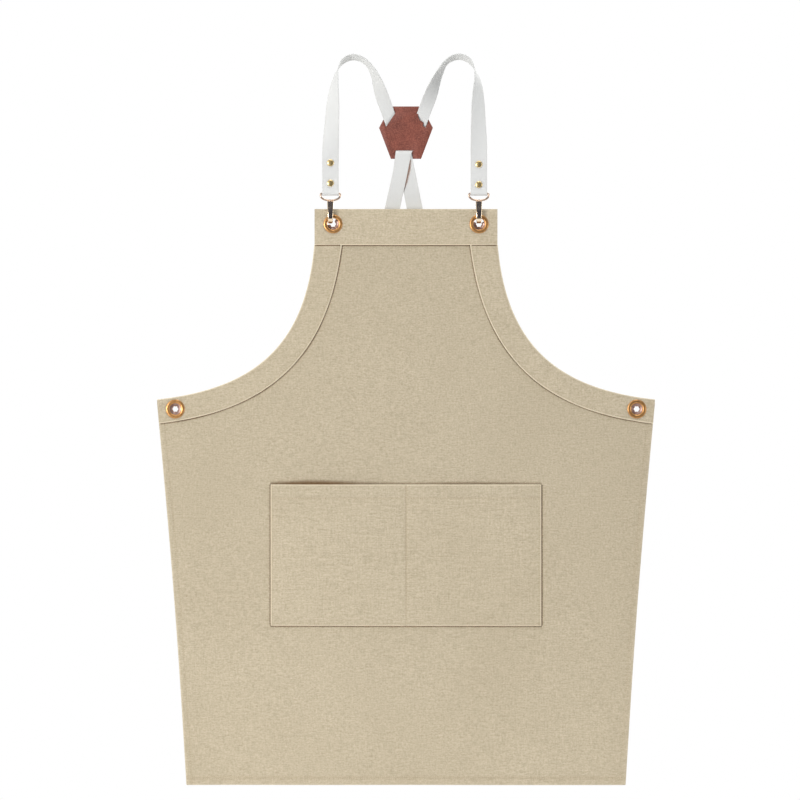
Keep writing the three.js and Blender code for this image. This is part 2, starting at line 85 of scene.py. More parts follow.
# Plain white to the camera; pale in front of the apron and dark behind it for everything else.
def setWorld():
    world = bpy.data.worlds.new("studio")
    bpy.context.scene.world = world
    world.use_nodes = True
    tree = world.node_tree
    tree.nodes.clear()
    output = tree.nodes.new("ShaderNodeOutputWorld")
    mix = tree.nodes.new("ShaderNodeMixShader")
    path = tree.nodes.new("ShaderNodeLightPath")
    seen = tree.nodes.new("ShaderNodeBackground")
    around = tree.nodes.new("ShaderNodeBackground")
    place = tree.nodes.new("ShaderNodeTexCoord")
    split = tree.nodes.new("ShaderNodeSeparateXYZ")
    ramp = tree.nodes.new("ShaderNodeValToRGB")
    half = tree.nodes.new("ShaderNodeMath")
    stops = ramp.color_ramp.elements
    for stop, end, colour in ((stops[0], "from", "dark"), (stops[1], "to", "around")):
        stop.position = room[end]
        stop.color = (*room[colour], 1)
    half.operation = "MULTIPLY_ADD"
    half.inputs[1].default_value = half.inputs[2].default_value = 0.5
    seen.inputs["Color"].default_value = (*room["seen"], 1)
    for start, end in (
        (place.outputs["Generated"], split.inputs[0]),
        (split.outputs["Y"], half.inputs[0]),
        (half.outputs[0], ramp.inputs["Fac"]),
        (ramp.outputs["Color"], around.inputs["Color"]),
        (path.outputs["Is Camera Ray"], mix.inputs["Fac"]),
        (around.outputs[0], mix.inputs[1]),
        (seen.outputs[0], mix.inputs[2]),
        (mix.outputs[0], output.inputs["Surface"]),
    ):
        tree.links.new(start, end)
    bpy.context.scene.view_settings.view_transform = "Standard"


setCamera()
setLight()
setWorld()
print("camera and light are set")

# Shader maths


class Value:
    def __init__(self, tree, socket):
        self.tree = tree
        self.socket = socket

    def math(self, operation, *others):
        node = self.tree.nodes.new("ShaderNodeMath")
        node.operation = operation
        for slot, value in zip(node.inputs, (self, *others)):
            if isinstance(value, Value):
                self.tree.links.new(value.socket, slot)
            else:
                slot.default_value = value
        return Value(self.tree, node.outputs[0])

    def __add__(self, other):
        return self.math("ADD", other)

    def __sub__(self, other):
        return self.math("SUBTRACT", other)

    def __rsub__(self, other):
        return self.math("MULTIPLY", -1).math("ADD", other)

    def __mul__(self, other):
        return self.math("MULTIPLY", other)

    def __truediv__(self, other):
        return self.math("DIVIDE", other)

    def __pow__(self, other):
        return self.math("POWER", other)

    __radd__ = __add__
    __rmul__ = __mul__

    def sine(self):
        return self.math("SINE")

    def size(self):
        return self.math("ABSOLUTE")

    def over(self, low, high):
        return ((self - low) / (high - low)).math("MAXIMUM", 0).math("MINIMUM", 1)


class Finish:
    def __init__(self, name, **fixed):
        self.material = bpy.data.materials.new(name)
        self.material.use_nodes = True
        self.tree = self.material.node_tree
        self.tree.nodes.clear()
        self.shader = self.tree.nodes.new("ShaderNodeBsdfPrincipled")
        output = self.tree.nodes.new("ShaderNodeOutputMaterial")
        self.tree.links.new(self.shader.outputs[0], output.inputs["Surface"])
        for socket, value in fixed.items():
            self.shader.inputs[socket.replace("_", " ")].default_value = value

    def node(self, kind, settings, out=0, **inputs):
        node = self.tree.nodes.new(kind)
        for name, value in settings.items():
            setattr(node, name, value)
        for socket, value in inputs.items():
            numbered = socket[1:].isdigit()
            slot = node.inputs[int(socket[1:]) if numbered else socket.replace("_", " ")]
            if isinstance(value, Value):
                self.tree.links.new(value.socket, slot)
            else:
                slot.default_value = value
        return Value(self.tree, node.outputs[out])

    def place(self, shift=(0, 0, 0)):
        spot = self.node("ShaderNodeTexCoord", {}, "Object")
        return self.node("ShaderNodeMapping", {}, Vector=spot, Location=shift)

    def parts(self, vector):
        node = self.tree.nodes.new("ShaderNodeSeparateXYZ")
        self.tree.links.new(vector.socket, node.inputs[0])
        return [Value(self.tree, out) for out in node.outputs]

    def stretched(self, vector, factors):
        return self.node("ShaderNodeVectorMath", {"operation": "MULTIPLY"}, _0=vector, _1=factors)

    def noise(self, vector, scale, detail=2, roughness=0.5):
        sockets = {"Vector": vector, "Scale": scale, "Detail": detail, "Roughness": roughness}
        return self.node("ShaderNodeTexNoise", {}, **sockets)

    def strip(self):
        return self.node("ShaderNodeUVMap", {"uv_map": "UVMap"}, "UV")

    def marked(self, name):
        return self.node("ShaderNodeAttribute", {"attribute_name": name}, "Fac").over(0, 1)

    def tint(self, factor, first, second, blend="MIX"):
        settings = {"data_type": "RGBA", "blend_type": blend}
        return self.node("ShaderNodeMix", settings, 2, _0=factor, _6=first, _7=second)

    def feed(self, socket, value):
        self.tree.links.new(value.socket, self.shader.inputs[socket])

    def relief(self, height, depth, strength=1):
        bump = self.node("ShaderNodeBump", {}, Height=height, Distance=depth, Strength=strength)
        self.feed("Normal", bump)


# Finishes

canvasLook = {
    "colour": (0.500, 0.428, 0.304, 1),
    "pale": (0.605, 0.526, 0.386, 1),
    "deep": (0.378, 0.316, 0.212, 1),
    "fleck": (0.25, 0.17, 0.09, 1),
    # wear_and_highlight: paler rubbed edges and a painted highlight along the canvas's folded
    # edges; on leather, paler worn creases
    "wear_and_highlight": (0.80, 0.72, 0.55, 1),
    # stitch_shade: painted shade that darkens the canvas along its stitch lines
    "stitch_shade": (0.26, 0.17, 0.085, 1),
    "thread": 0.00105,
}
webbingLook = {
    "colour": (0.67, 0.675, 0.66, 1),
    "deep": (0.55, 0.55, 0.52, 1),
    "rib": 0.0016,
    "pick": 0.0013,
    "twill": (0.0036, 0.0030),
    "middle": 0.012,
}
leatherLook = {
    "colour": (0.215, 0.060, 0.039, 1),
    "deep": (0.095, 0.024, 0.016, 1),
    "wear_and_highlight": (0.385, 0.130, 0.087, 1),
    "cut": (0.12, 0.035, 0.025, 1),
}


def canvasFinish(name, shift=(0, 0, 0), lift=1.0):
    look = canvasLook
    finish = Finish(
        name, Roughness=0.88, Sheen_Weight=0.12, Sheen_Roughness=0.5, Specular_IOR_Level=0.25
    )
    spot = finish.place(shift)
    x, _, z = finish.parts(spot)
    weft = finish.noise(finish.stretched(spot, (70, 70, 950)), 1, 3, 0.6)
    warp = finish.noise(finish.stretched(spot, (950, 70, 70)), 1, 3, 0.6)
    slub = finish.noise(finish.stretched(spot, (22, 22, 420)), 1, 2, 0.5).over(0.56, 0.8)
    cloud = finish.noise(spot, 5.5, 3, 0.55)
    grain = finish.noise(spot, 260, 2, 0.5)
    fleck = finish.noise(spot, 240, 1, 0.4).over(0.77, 0.82)
    step = tau / look["thread"]
    weave = (x * step).sine() * (z * step).sine()
    mottle = finish.noise(finish.stretched(spot, (330, 330, 520)), 1, 3, 0.7)
    tone = (weft * 0.3 + warp * 0.22 + mottle * 0.48).over(0.38, 0.61)
    colour = finish.tint(tone, look["deep"], look["pale"])
    colour = finish.tint(0.12, colour, look["colour"])
    colour = finish.tint(slub * 0.3, colour, look["pale"])
    colour = finish.tint(cloud.over(0.35, 0.7) * 0.22, colour, look["deep"])
    colour = finish.tint(fleck * 0.3, colour, look["fleck"])
    # Lighter along the edges marked edge: wear and a painted highlight on the rolled edges.
    colour = finish.tint(finish.marked("edge") * 0.85, colour, look["wear_and_highlight"])
    # Darker along the stitch lines marked seam: painted shade in the stitch grooves.
    colour = finish.tint(finish.marked("seam") * 0.55, colour, look["stitch_shade"])
    # lift makes this copy of the canvas lighter: painted light on the band, facing and pocket
    # copies.
    colour = finish.tint(1.0, colour, (lift, lift, lift, 1), "MULTIPLY")
    finish.feed("Base Color", colour)
    finish.feed("Roughness", grain * 0.12 + 0.8)
    crumple = finish.noise(spot, 16, 2, 0.5) * 3.2
    yarns = weave * 0.22 + weft * 0.6 + warp * 0.5 + slub * 0.5 + grain * 0.3
    finish.relief(yarns + crumple, 0.00042, 0.75)
    return finish.material


def webbingFinish():
    look = webbingLook
    finish = Finish(
        "webbing_cotton", Sheen_Weight=0.15, Sheen_Roughness=0.4, Specular_IOR_Level=0.25
    )
    strip = finish.strip()
    u, v, _ = finish.parts(strip)
    spot = finish.place()
    rib = (u * (tau / look["rib"])).sine()
    pick = (v * (tau / look["pick"]) + rib * 1.2).sine()
    across, along = look["twill"]
    twill = ((u * (1 / across) + v * (1 / along)) * tau).sine()
    yarn = finish.noise(finish.stretched(strip, (1500, 160, 1)), 1, 3, 0.6)
    fluff = finish.noise(spot, 420, 2, 0.6)
    cloud = finish.noise(spot, 18, 2, 0.5)
    border = (u - look["middle"]).size().over(0.0098, 0.0106)
    dark = rib * -0.12 + pick * -0.10 + twill * 0.06 + yarn * 0.5 + fluff * 0.35 + cloud * 0.2
    dark = dark.over(0.35, 0.95)
    colour = finish.tint(dark * 0.62, look["colour"], look["deep"])
    colour = finish.tint(border * 0.16, colour, look["deep"])
    finish.feed("Base Color", colour)
    finish.feed("Roughness", fluff * 0.15 + 0.78)
    threads = rib * 0.35 + pick * 0.35 + twill * 0.15 + yarn * 0.5 + fluff * 0.3
    finish.relief(threads - border * 0.5, 0.00003, 0.1)
    return finish.material


def leatherFinish(name="leather_brown", cut=False):
    look = leatherLook
    finish = Finish(name, Specular_IOR_Level=0.45, Coat_Weight=0.08, Coat_Roughness=0.35)
    spot = finish.place()
    cells = {"feature": "F1"}
    pore = finish.node("ShaderNodeTexVoronoi", cells, "Distance", Vector=spot, Scale=950)
    crease = finish.noise(spot, 520, 3, 0.7)
    cloud = finish.noise(spot, 60, 4, 0.7)
    colour = finish.tint(cloud.over(0.3, 0.62), look["deep"], look["colour"])
    colour = finish.tint(0.2, colour, look["colour"])
    colour = finish.tint(crease.over(0.44, 0.64) * 0.6, colour, look["wear_and_highlight"])
    colour = finish.tint(pore.over(0.0006, 0.0) * 0.25, colour, look["deep"])
    if cut:
        colour = finish.tint(0.6, colour, look["cut"])
    colour = finish.tint(finish.marked("edge") * 0.35, colour, look["deep"])
    finish.feed("Base Color", colour)
    finish.feed("Roughness", crease * 0.25 + 0.38)
    finish.relief(pore * 0.8 + crease * 0.9 + cloud * 0.8, 0.00022, 0.7)
    return finish.material


def metalFinish(name, bright, dull, roughness, wear):
    finish = Finish(name, Metallic=1.0, Specular_IOR_Level=0.5)
    spot = finish.place()
    brush = finish.noise(finish.stretched(spot, (260, 900, 1400)), 1, 3, 0.6)
    stain = finish.noise(spot, 190, 3, 0.55)
    colour = finish.tint(stain.over(0.45, 0.75) * wear, bright, dull)
    finish.feed("Base Color", colour)
    finish.feed("Roughness", (brush * 0.12 + stain * 0.10) * (1 + wear) + roughness)
    finish.relief(brush * 0.4 + stain * 0.6, 0.00004, 0.5)
    return finish.material


def threadFinish(name, colour, deep):
    finish = Finish(name, Roughness=0.7, Sheen_Weight=0.2)
    spot = finish.place()
    twist = finish.noise(spot, 1600, 2, 0.5)
    finish.feed("Base Color", finish.tint(twist.over(0.3, 0.7), colour, deep))
    finish.relief(twist, 0.0001, 0.6)
    return finish.material


# The band, facing and pocket take lighter copies of the panel's canvas: painted light.
materials = {
    "panel": canvasFinish("canvas_panel"),
    "band": canvasFinish("canvas_band", (0.31, 0.1, 0.17), 1.06),
    "facing": canvasFinish("canvas_facing", (0.11, 0.4, 0.53), 1.03),
    "pocket": canvasFinish("canvas_pocket", (0.73, 0.2, 0.29), 1.02),
    "thread": threadFinish("thread_cream", (0.66, 0.58, 0.42, 1), (0.42, 0.34, 0.22, 1)),
    "webbing": webbingFinish(),
    "leather": leatherFinish(),
    "leatherCut": leatherFinish("leather_cut_edge", True),
}
# name, bright, dull, roughness, wear
metals = {
    "hook": ("metal_pale_gold", (0.86, 0.70, 0.50, 1), (0.62, 0.45, 0.28, 1), 0.06, 0.25),
    "eyelet": ("metal_antique_copper", (0.66, 0.35, 0.13, 1), (0.34, 0.15, 0.055, 1), 0.24, 0.6),
    "loop": ("metal_rose_gold", (0.64, 0.48, 0.37, 1), (0.36, 0.25, 0.19, 1), 0.1, 0.6),
    # The eyelet lip's metal is darker and duller than the eyelet's: painted shade inside the hole.
    "lip": ("metal_eyelet_inside_shade", (0.42, 0.29, 0.25, 1), (0.17, 0.10, 0.085, 1), 0.26, 0.9),
    "rivet": ("metal_brass", (0.84, 0.64, 0.30, 1), (0.56, 0.38, 0.15, 1), 0.22, 0.35),
    "spring": ("metal_steel", (0.62, 0.62, 0.63, 1), (0.4, 0.4, 0.42, 1), 0.2, 0.3),
}
for metal, look in metals.items():
    materials[metal] = metalFinish(*look)
print("finishes are made")

# Mesh helpers


def clear():
    if bpy.context.object and bpy.context.object.mode != "OBJECT":
        bpy.ops.object.mode_set(mode="OBJECT")
    bpy.ops.object.select_all(action="DESELECT")


def take(piece):
    clear()
    piece.select_set(True)
    bpy.context.view_layer.objects.active = piece


# Mesh operators in edit mode, each on everything.
def edit(piece, *steps):
    take(piece)
    bpy.ops.object.mode_set(mode="EDIT")
    for operator, settings in steps:
        bpy.ops.mesh.select_all(action="SELECT")
        operator(**settings)
    bpy.ops.object.mode_set(mode="OBJECT")


weld = (bpy.ops.mesh.remove_doubles, {"threshold": 1e-6})
faceOut = (bpy.ops.mesh.normals_make_consistent, {"inside": False})


def smooth(angle):
    bpy.ops.object.shade_smooth_by_angle(angle=math.radians(angle))


def finishModifiers(piece):
    take(piece)
    for modifier in list(piece.modifiers):
        bpy.ops.object.modifier_apply(modifier=modifier.name)


def clothGrid(name, places):
    rows, columns = places.shape[:2]
    clear()
    bpy.ops.mesh.primitive_grid_add(x_subdivisions=columns - 1, y_subdivisions=rows - 1, size=1)
    sheet = bpy.context.object
    sheet.name = sheet.data.name = name
    sheet.data.vertices.foreach_set("co", (places * mm).astype(np.float32).ravel())
    sheet.data.update()
    return sheet


def mark(sheet, name, values):
    attribute = sheet.data.attributes.new(name, "FLOAT", "POINT")
    attribute.data.foreach_set("value", np.asarray(values, np.float32).ravel())


def roundEdges(piece, width, angle, segments=2):
    rounded = piece.modifiers.new("edge", "BEVEL")
    rounded.width = width * mm
    rounded.segments = segments
    rounded.limit_method = "ANGLE"
    rounded.angle_limit = math.radians(angle)
    finishModifiers(piece)


def thicken(sheet, thickness, edge=0.3):
    solid = sheet.modifiers.new("thickness", "SOLIDIFY")
    solid.thickness = thickness * mm
    solid.offset = 0
    solid.use_even_offset = False
    finishModifiers(sheet)
    if edge:
        roundEdges(sheet, edge, 50)
    smooth(45)


def pierce(sheet, holes):
    for x, z in holes:
        clear()
        bpy.ops.mesh.primitive_cylinder_add(
            vertices=48,
            radius=cloth["eyeletCut"] * mm,
            depth=0.03,
            location=(x * mm, 0, z * mm),
            rotation=(math.pi / 2, 0, 0),
        )
        punch = bpy.context.object
        hole = sheet.modifiers.new("hole", "BOOLEAN")
        hole.operation = "DIFFERENCE"
        hole.solver = "EXACT"
        hole.object = punch
        finishModifiers(sheet)
        bpy.data.objects.remove(punch)


def ship(piece, body, slot, material, *nodes):
    if material:
        piece.data.materials.clear()
        piece.data.materials.append(materials[material])
    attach(piece, body)
    if nodes:
        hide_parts(*nodes)


# A profile of [radius, y] points spun round the Y direction.
def turned(name, profile, at, turn=0, steps=48, close=False):
    points = [(radius * mm, y * mm, 0) for radius, y in profile]
    links = [(i, i + 1) for i in range(len(points) - 1)]
    if close:
        links.append((len(points) - 1, 0))
    mesh = bpy.data.meshes.new(name)
    mesh.from_pydata(points, links, [])
    piece = bpy.data.objects.new(name, mesh)
    bpy.context.collection.objects.link(piece)
    spin = {"steps": steps, "angle": tau, "center": (0, 0, 0), "axis": (0, 1, 0)}
    edit(piece, (bpy.ops.mesh.spin, spin), weld, (bpy.ops.mesh.delete_loose, {}), faceOut)
    piece.data.transform(Matrix.Translation(Vector(at) * mm) @ Matrix.Rotation(turn, 4, "Z"))
    smooth(50)
    return piece


# A closed bar: one ring of section points for each frame (middle, side, up, halfWidth, halfDepth).
def sweep(name, frames, section, ring=False):
    rows = []
    for middle, side, up, halfWidth, halfDepth in frames:
        row = [middle + side * (u * halfWidth) + up * (v * halfDepth) for u, v in section]
        rows.append([*row, row[0]])
    if ring:
        rows.append(rows[0])
    piece = clothGrid(name, np.array(rows))
    edit(piece, weld, *([] if ring else [(bpy.ops.mesh.fill_holes, {"sides": 0})]), faceOut)
    smooth(50)
    return piece


def squared(value, power):
    return math.copysign(abs(value) ** power, value)


# Round at square 1, and nearer a square below that.
def roundSection(count, square=1.0):
    turns = [tau * i / count for i in range(count)]
    return [(squared(math.cos(a), square), squared(math.sin(a), square)) for a in turns]


# A smooth line through points, evenly eased between them by their distances.
def smoothLine(points, perSpan):
    points = [np.array(p, float) for p in points]
    last = len(points) - 1
    line = []
    for i in range(last):
        p1, p2 = points[i], points[i + 1]
        p0 = points[i - 1] if i else 2 * p1 - p2
        p3 = points[i + 2] if i + 2 <= last else 2 * p2 - p1
        spans = (p1 - p0, p2 - p1, p3 - p2)
        d0, d1, d2 = (max(np.linalg.norm(span), 1e-9) ** 0.5 for span in spans)
        t1 = ((p1 - p0) / d0 - (p2 - p0) / (d0 + d1) + (p2 - p1) / d1) * d1
        t2 = ((p2 - p1) / d1 - (p3 - p1) / (d1 + d2) + (p3 - p2) / d2) * d1
        for k in range(perSpan):
            w = k / perSpan
            cube = 2 * p1 - 2 * p2 + t1 + t2
            square = -3 * p1 + 3 * p2 - 2 * t1 - t2
            line.append(cube * w**3 + square * w**2 + t1 * w + p1)
    line.append(points[-1])
    return np.array(line)


def unit(vector):
    return vector / np.linalg.norm(vector)


# Canvas

cloth = {
    "thickness": 1.1,
    "thin": 0.95,
    "eyeletCut": 9.3,
    "bibTop": -210,
    "bibHalf": 128,
    "bandBottom": -260,
    "waist": -477,
    "waistHalf": 348.5,
    "hem": -1016,
    "hemHalf": 307,
    "sideHem": 9.5,
    "bottomHem": 10.5,
    "sideSeam": 7.4,
    "bottomSeams": (8.3, 11),
    "bandSeam": 1.5,
    "facingSeams": {"armhole": 2.0, "inner": 2.3},
    "wave": 1.7,
    "bow": 2.8,
    "facingBib": 38,
    "facingWaist": 33,
    "facingBow": 3.2,
    "ply": 1.5,
}
eyelets = {
    "bib_left": (-102.2, -231),
    "bib_right": (102.2, -231),
    "waist_left": (-323, -490),
    "waist_right": (323, -490),
}
hands = {"left": -1, "right": 1}
armholeBends = np.array([(128, -260), (140, -400), (210, -462), (348.5, -477)], float)


def armhole(share):
    a, b, c, d = armholeBends
    s = np.atleast_1d(share)[:, None]
    place = a * (1 - s) ** 3 + 3 * b * s * (1 - s) ** 2 + 3 * c * s**2 * (1 - s) + d * s**3
    way = 3 * (b - a) * (1 - s) ** 2 + 6 * (c - b) * s * (1 - s) + 3 * (d - c) * s**2
    return place, way / np.linalg.norm(way, axis=1)[:, None]


def hang(x, z):
    down = np.clip((-300 - z) / 560, 0, 1) ** 1.2
    calm = 1 - np.exp(-((np.abs(x) - 323) ** 2 + (z + 490) ** 2) / 70**2)
    folds = 0.55 * np.sin(x / 47 + 0.9 * np.sin(z / 190)) + np.sin(x / 118 + z / 240 + 1.1)
    folds = folds + 0.55 * np.sin(z / 88 + x / 150) + 0.35 * np.sin((x + 0.6 * z) / 36 + 0.4)
    return cloth["wave"] * down * calm * folds


def sideAt(z):
    down = np.clip((cloth["waist"] - z) / (cloth["waist"] - cloth["hem"]), 0, 1)
    straight = cloth["waistHalf"] + (cloth["hemHalf"] - cloth["waistHalf"]) * down
    return straight - cloth["bow"] * np.sin(math.pi * down)


def makePanel():
    # Distance in from the edge and depth, round the folded hem and on to its hidden end.
    fold = [(cloth["sideHem"], 1.5), (6, 1.5), (3, 1.5), (0.9, 1.5), (0.25, 1.25), (0, 0.75)]
    fold += [(0.25, 0.25)]
    front = [(0.9, 0), (2.2, 0), (4, 0), (5.6, 0), (6.6, 0.05), (7.4, 0.3), (8.2, 0.05)]
    front += [(9.2, -0.12), (10.4, 0.05), (12, 0), (14, 0)]
    margin = fold + front
    inner = np.linspace(-1, 1, 110)[1:-1]
    bottomMargin = [(cloth["bottomHem"], 1.5), (7, 1.5)] + margin[2:11]
    bottomMargin += [(7.4, 0.05), (8.3, 0.3), (9.3, 0), (11, 0.2), (12.4, 0), (14, 0)]
    seamLow, seamHigh = cloth["bottomSeams"]
    shares = 1 - np.linspace(0, 1, 70) ** 1.35
    upper, _ = armhole(shares)
    rows = [(cloth["hem"] + d, sideAt(cloth["hem"] + d), y) for d, y in bottomMargin]
    rows += [(z, sideAt(z), 0) for z in np.linspace(cloth["hem"] + 18, cloth["waist"] - 4, 110)]
    rows += [(z, x, 0) for x, z in upper]
    rows += [(z, cloth["bibHalf"], 0) for z in (-256, -250, -240, -231, -220, -211.5)]
    places, edges, seams, keep = [], [], [], []
    for r, (z, half, depth) in enumerate(rows):
        side = [(-half + d, y) for d, y in margin]
        middle = [(x * (half - 14), 0) for x in inner]
        line = side + middle + [(-x, y) for x, y in reversed(side)]
        folded = [*range(len(fold) - 1)]
        hidden = set(folded) | {len(line) - 1 - i for i in folded}
        lowFold = r < 6
        for c, (x, y) in enumerate(line):
            above = z > cloth["waist"] - 0.5
            keep.append(not (c in hidden and (above or lowFold)))
            y = depth if (lowFold or abs(depth) > abs(y)) else y
            if above and c not in hidden:
                y = 0
            places.append((x, y + hang(x, z), z))
            d = half - abs(x)
            rise = z - cloth["hem"]
            edges.append(0.3 * max(0, 1 - min(d, rise) / 1.6))
            low = min(abs(rise - seamLow), abs(rise - seamHigh)) if rise < 20 else 9
            near = min(abs(d - cloth["sideSeam"]), low)
            seams.append(0.35 * max(0, 1 - near / 1.2) * (not above))
    count = len(line)
    panel = clothGrid("panel_cloth", np.array(places).reshape(len(rows), count, 3))
    # edge marks the wear and painted highlight along the edges; seam marks the painted shade along
    # the stitch lines.
    mark(panel, "edge", edges)
    mark(panel, "seam", seams)
    take(panel)
    bpy.ops.object.mode_set(mode="EDIT")
    bpy.ops.mesh.select_all(action="DESELECT")
    bpy.ops.object.mode_set(mode="OBJECT")
    for vertex, kept in zip(panel.data.vertices, keep):
        vertex.select = not kept
    bpy.ops.object.mode_set(mode="EDIT")
    bpy.ops.mesh.select_mode(type="VERT")
    bpy.ops.mesh.delete(type="VERT")
    bpy.ops.object.mode_set(mode="OBJECT")
    thicken(panel, cloth["thickness"])
    pierce(panel, eyelets.values())
    ship(panel, "apron", "canvas", "panel", "apron_panel")
    return panel


def makeBand():
    half = cloth["bibHalf"]
    ply = cloth["ply"]
    crown = cloth["bibTop"] - 0.55 - ply
    low = cloth["bandBottom"]
    front = [(0.5, low + 0.7), (0.1, low + 0.15), (-0.25, low), (-0.55, low + 0.25)]
    front += [(-0.15, low + 1.5), (-0.2, low + 2.6), (0.02, low + 3.8), (0, low + 6)]
    line = [(-ply + y, z) for y, z in front]
    line += [(-ply, z) for z in np.linspace(low + 10, crown, 14)]
    turns = np.linspace(0, math.pi, 9)[1:-1]
    line += [(-ply * math.cos(a), crown + ply * math.sin(a)) for a in turns]
    line += [(ply, z) for z in np.linspace(crown, low + 0.5, 16)]
    ends = np.array([half, half - 0.6, half - 1.6])
    columns = np.concatenate([-ends, np.linspace(-half + 4, half - 4, 90), ends[::-1]])
    places, edges, seams = [], [], []
    for y, z in line:
        for x in columns:
            ripple = 0.16 * math.sin(x / 9 + 0.7 * math.sin(x / 31))
            ripple *= math.exp(-max(0, z - low) / 9)
            places.append((x, y + (ripple if y < 0 else 0), z))
            edges.append(max(0, 1 - (z - low) / 1.4) if y < 0 else 0)
            seams.append(0.5 * max(0, 1 - abs(z - low - cloth["bandSeam"]) / 0.9) if y < 0 else 0)
    band = clothGrid("bib_band_cloth", np.array(places).reshape(len(line), len(columns), 3))
    # edge marks the wear and painted highlight along the band's lower edge; seam marks the painted
    # shade along its stitch line.
    mark(band, "edge", edges)
    mark(band, "seam", seams)
    thicken(band, cloth["thickness"])
    pierce(band, [eyelets["bib_left"], eyelets["bib_right"]])
    ship(band, "apron", "canvas", "band", "bib_band")
    return band


def facingLine(share, inset, side=1):
    place, way = armhole(share)
    normal = np.stack([way[:, 1], -way[:, 0]], axis=1)
    s = np.atleast_1d(share)[:, None]
    level = np.array([[-1.0, 0.0]])
    down = np.array([[-0.0768, -0.997]])
    top = np.clip(1 - s / 0.16, 0, 1) ** 1.5
    end = np.clip((s - 0.86) / 0.14, 0, 1) ** 1.5
    normal = normal * (1 - top - end) + level * top + down * end
    normal = normal / np.linalg.norm(normal, axis=1)[:, None]
    spot = place + normal * np.atleast_1d(inset)[:, None]
    return spot * np.array([side, 1])


def facingWidth(shares):
    straight = cloth["facingBib"] + (cloth["facingWaist"] - cloth["facingBib"]) * shares
    return straight - cloth["facingBow"] * np.sin(math.pi * shares**0.8)


def makeFacing(word):
    side = hands[word]
    shares = np.linspace(0, 1, 120)
    width = facingWidth(shares)
    across = [(0.2, -0.35), (0.0, -0.75), (0.25, -1.25), (0.9, -1.55), (2, -1.4), (3.2, -1.6)]
    across += [(d, -1.6) for d in (6, 10, 14, 18, 22, 26)]
    inward = [(4.5, -1.65), (3.2, -1.7), (2.3, -1.45), (1.5, -1.72), (0.8, -1.85), (0.2, -1.6)]
    inward += [(0.0, -1.2), (0.4, -0.8)]
    places, edges, seams = [], [], []
    for d, y in across:
        spots = facingLine(shares, np.full(len(shares), float(d)), side)
        places.append([(x, y + hang(x, z), z) for x, z in spots])
        edges.append([max(0, 1 - d / 1.2)] * len(shares))
        seams.append([0.25 * (d == cloth["facingSeams"]["armhole"])] * len(shares))
    for d, y in inward:
        spots = facingLine(shares, width - d, side)
        places.append([(x, y + hang(x, z), z) for x, z in spots])
        edges.append([max(0, 1 - d / 1.4)] * len(shares))
        seams.append([0.5 * (d == cloth["facingSeams"]["inner"])] * len(shares))
    facing = clothGrid("facing_cloth_" + word, np.array(places)[::-side])
    # edge marks the wear and painted highlight along the facing's edges; seam marks the painted
    # shade along its stitch lines.
    mark(facing, "edge", edges[::-side])
    mark(facing, "seam", seams[::-side])
    thicken(facing, cloth["thin"])
    pierce(facing, [eyelets["waist_" + word]])
    ship(facing, "apron", "canvas", "facing", "armhole_facing_" + word)
    return facing


pocket = {"half": 189, "top": -596, "height": 197, "bulge": 4.6, "hem": 19, "seam": 1.9}


def pocketDepth(x, z):
    along = np.clip(np.abs(x) / pocket["half"], 0, 1)
    down = np.clip((pocket["top"] - z) / pocket["height"], 0, 1)
    lean = 1 + 0.35 * np.where(x < 0, 1, -0.6)
    open_ = np.sin(math.pi * along) ** 0.6
    crease = 0.35 * np.sin(x / 21 + z / 57) * down * (1 - down) * 2
    return -1.75 - pocket["bulge"] * lean * open_ * (1 - down**2.5) * 0.8 - crease


def makePocket():
    half, top, high = pocket["half"], pocket["top"], pocket["height"]
    turnIn = [(0.5, 0.85), (0.1, 0.45), (0, 0.15), (0.35, -0.2), (1.0, -0.12)]
    sideDrop = turnIn + [(1.9, 0.15), (2.9, -0.1), (4.2, 0), (7, 0)]
    sides = [(-half + d, y) for d, y in sideDrop]
    middle = [(x, 0) for x in np.linspace(-half + 11, -9, 34)]
    mid = [(-5, 0), (-3, -0.1), (-1.5, 0.1), (0, 0.45), (1.5, 0.1), (3, -0.1), (5, 0)]
    columns = sides + middle + mid + [(-x, y) for x, y in reversed(sides + middle)]
    low = [(top - high + d, y) for d, y in turnIn + [(1.9, 0.2), (3, -0.05)]]
    body = [(z, 0) for z in np.linspace(top - high + 6, top - 40, 26)]
    hemDrop = [(32, 0), (26, 0.05), (21, 0.2), (19, 0.45), (17, -0.05), (13, -0.1), (8, -0.1)]
    hemDrop += [(4, -0.1), (1.6, -0.12), (0.6, 0.05), (0.05, 0.5), (0.2, 1.2), (1, 1.55), (4, 1.6)]
    hemDrop += [(10, 1.6), (18, 1.6)]
    places, edges, seams = [], [], []
    rows = low + body + [(top - d, y) for d, y in hemDrop]
    for r, (z, dz) in enumerate(rows):
        for x, dx in columns:
            back = r >= len(rows) - 5
            depth = pocketDepth(x, z)
            offset = dz if abs(dz) > abs(dx) else dx
            if back:
                offset = dz * (0.25 + 0.75 * min(1, (-1.75 - depth) / 1.2)) if depth > -2.95 else dz
            places.append((x, depth + offset + hang(x, z), z))
            d = min(half - abs(x), z - (top - high), max(0, top - z) + (4 if back else 0))
            edges.append(0.75 * max(0, 1 - d / 1.6))
            near = min(abs(half - abs(x) - pocket["seam"]), abs(z - top + high - pocket["seam"]))
            near = min(near, abs(x)) if z < top - 1 else near
            hemSeam = 0.25 * max(0, 1 - abs(top - z - pocket["hem"]) / 1.5)
            seams.append(0.0 if back else 0.5 * max(0, 1 - near) + hemSeam)
    piece = clothGrid("pocket_cloth", np.array(places).reshape(len(rows), len(columns), 3))
    # edge marks the wear and painted highlight along the pocket's edges; seam marks the painted
    # shade along its stitch lines.
    mark(piece, "edge", edges)
    mark(piece, "seam", seams)
    thicken(piece, cloth["thin"])
    ship(piece, "apron", "canvas", "pocket", "pocket")
    return piece


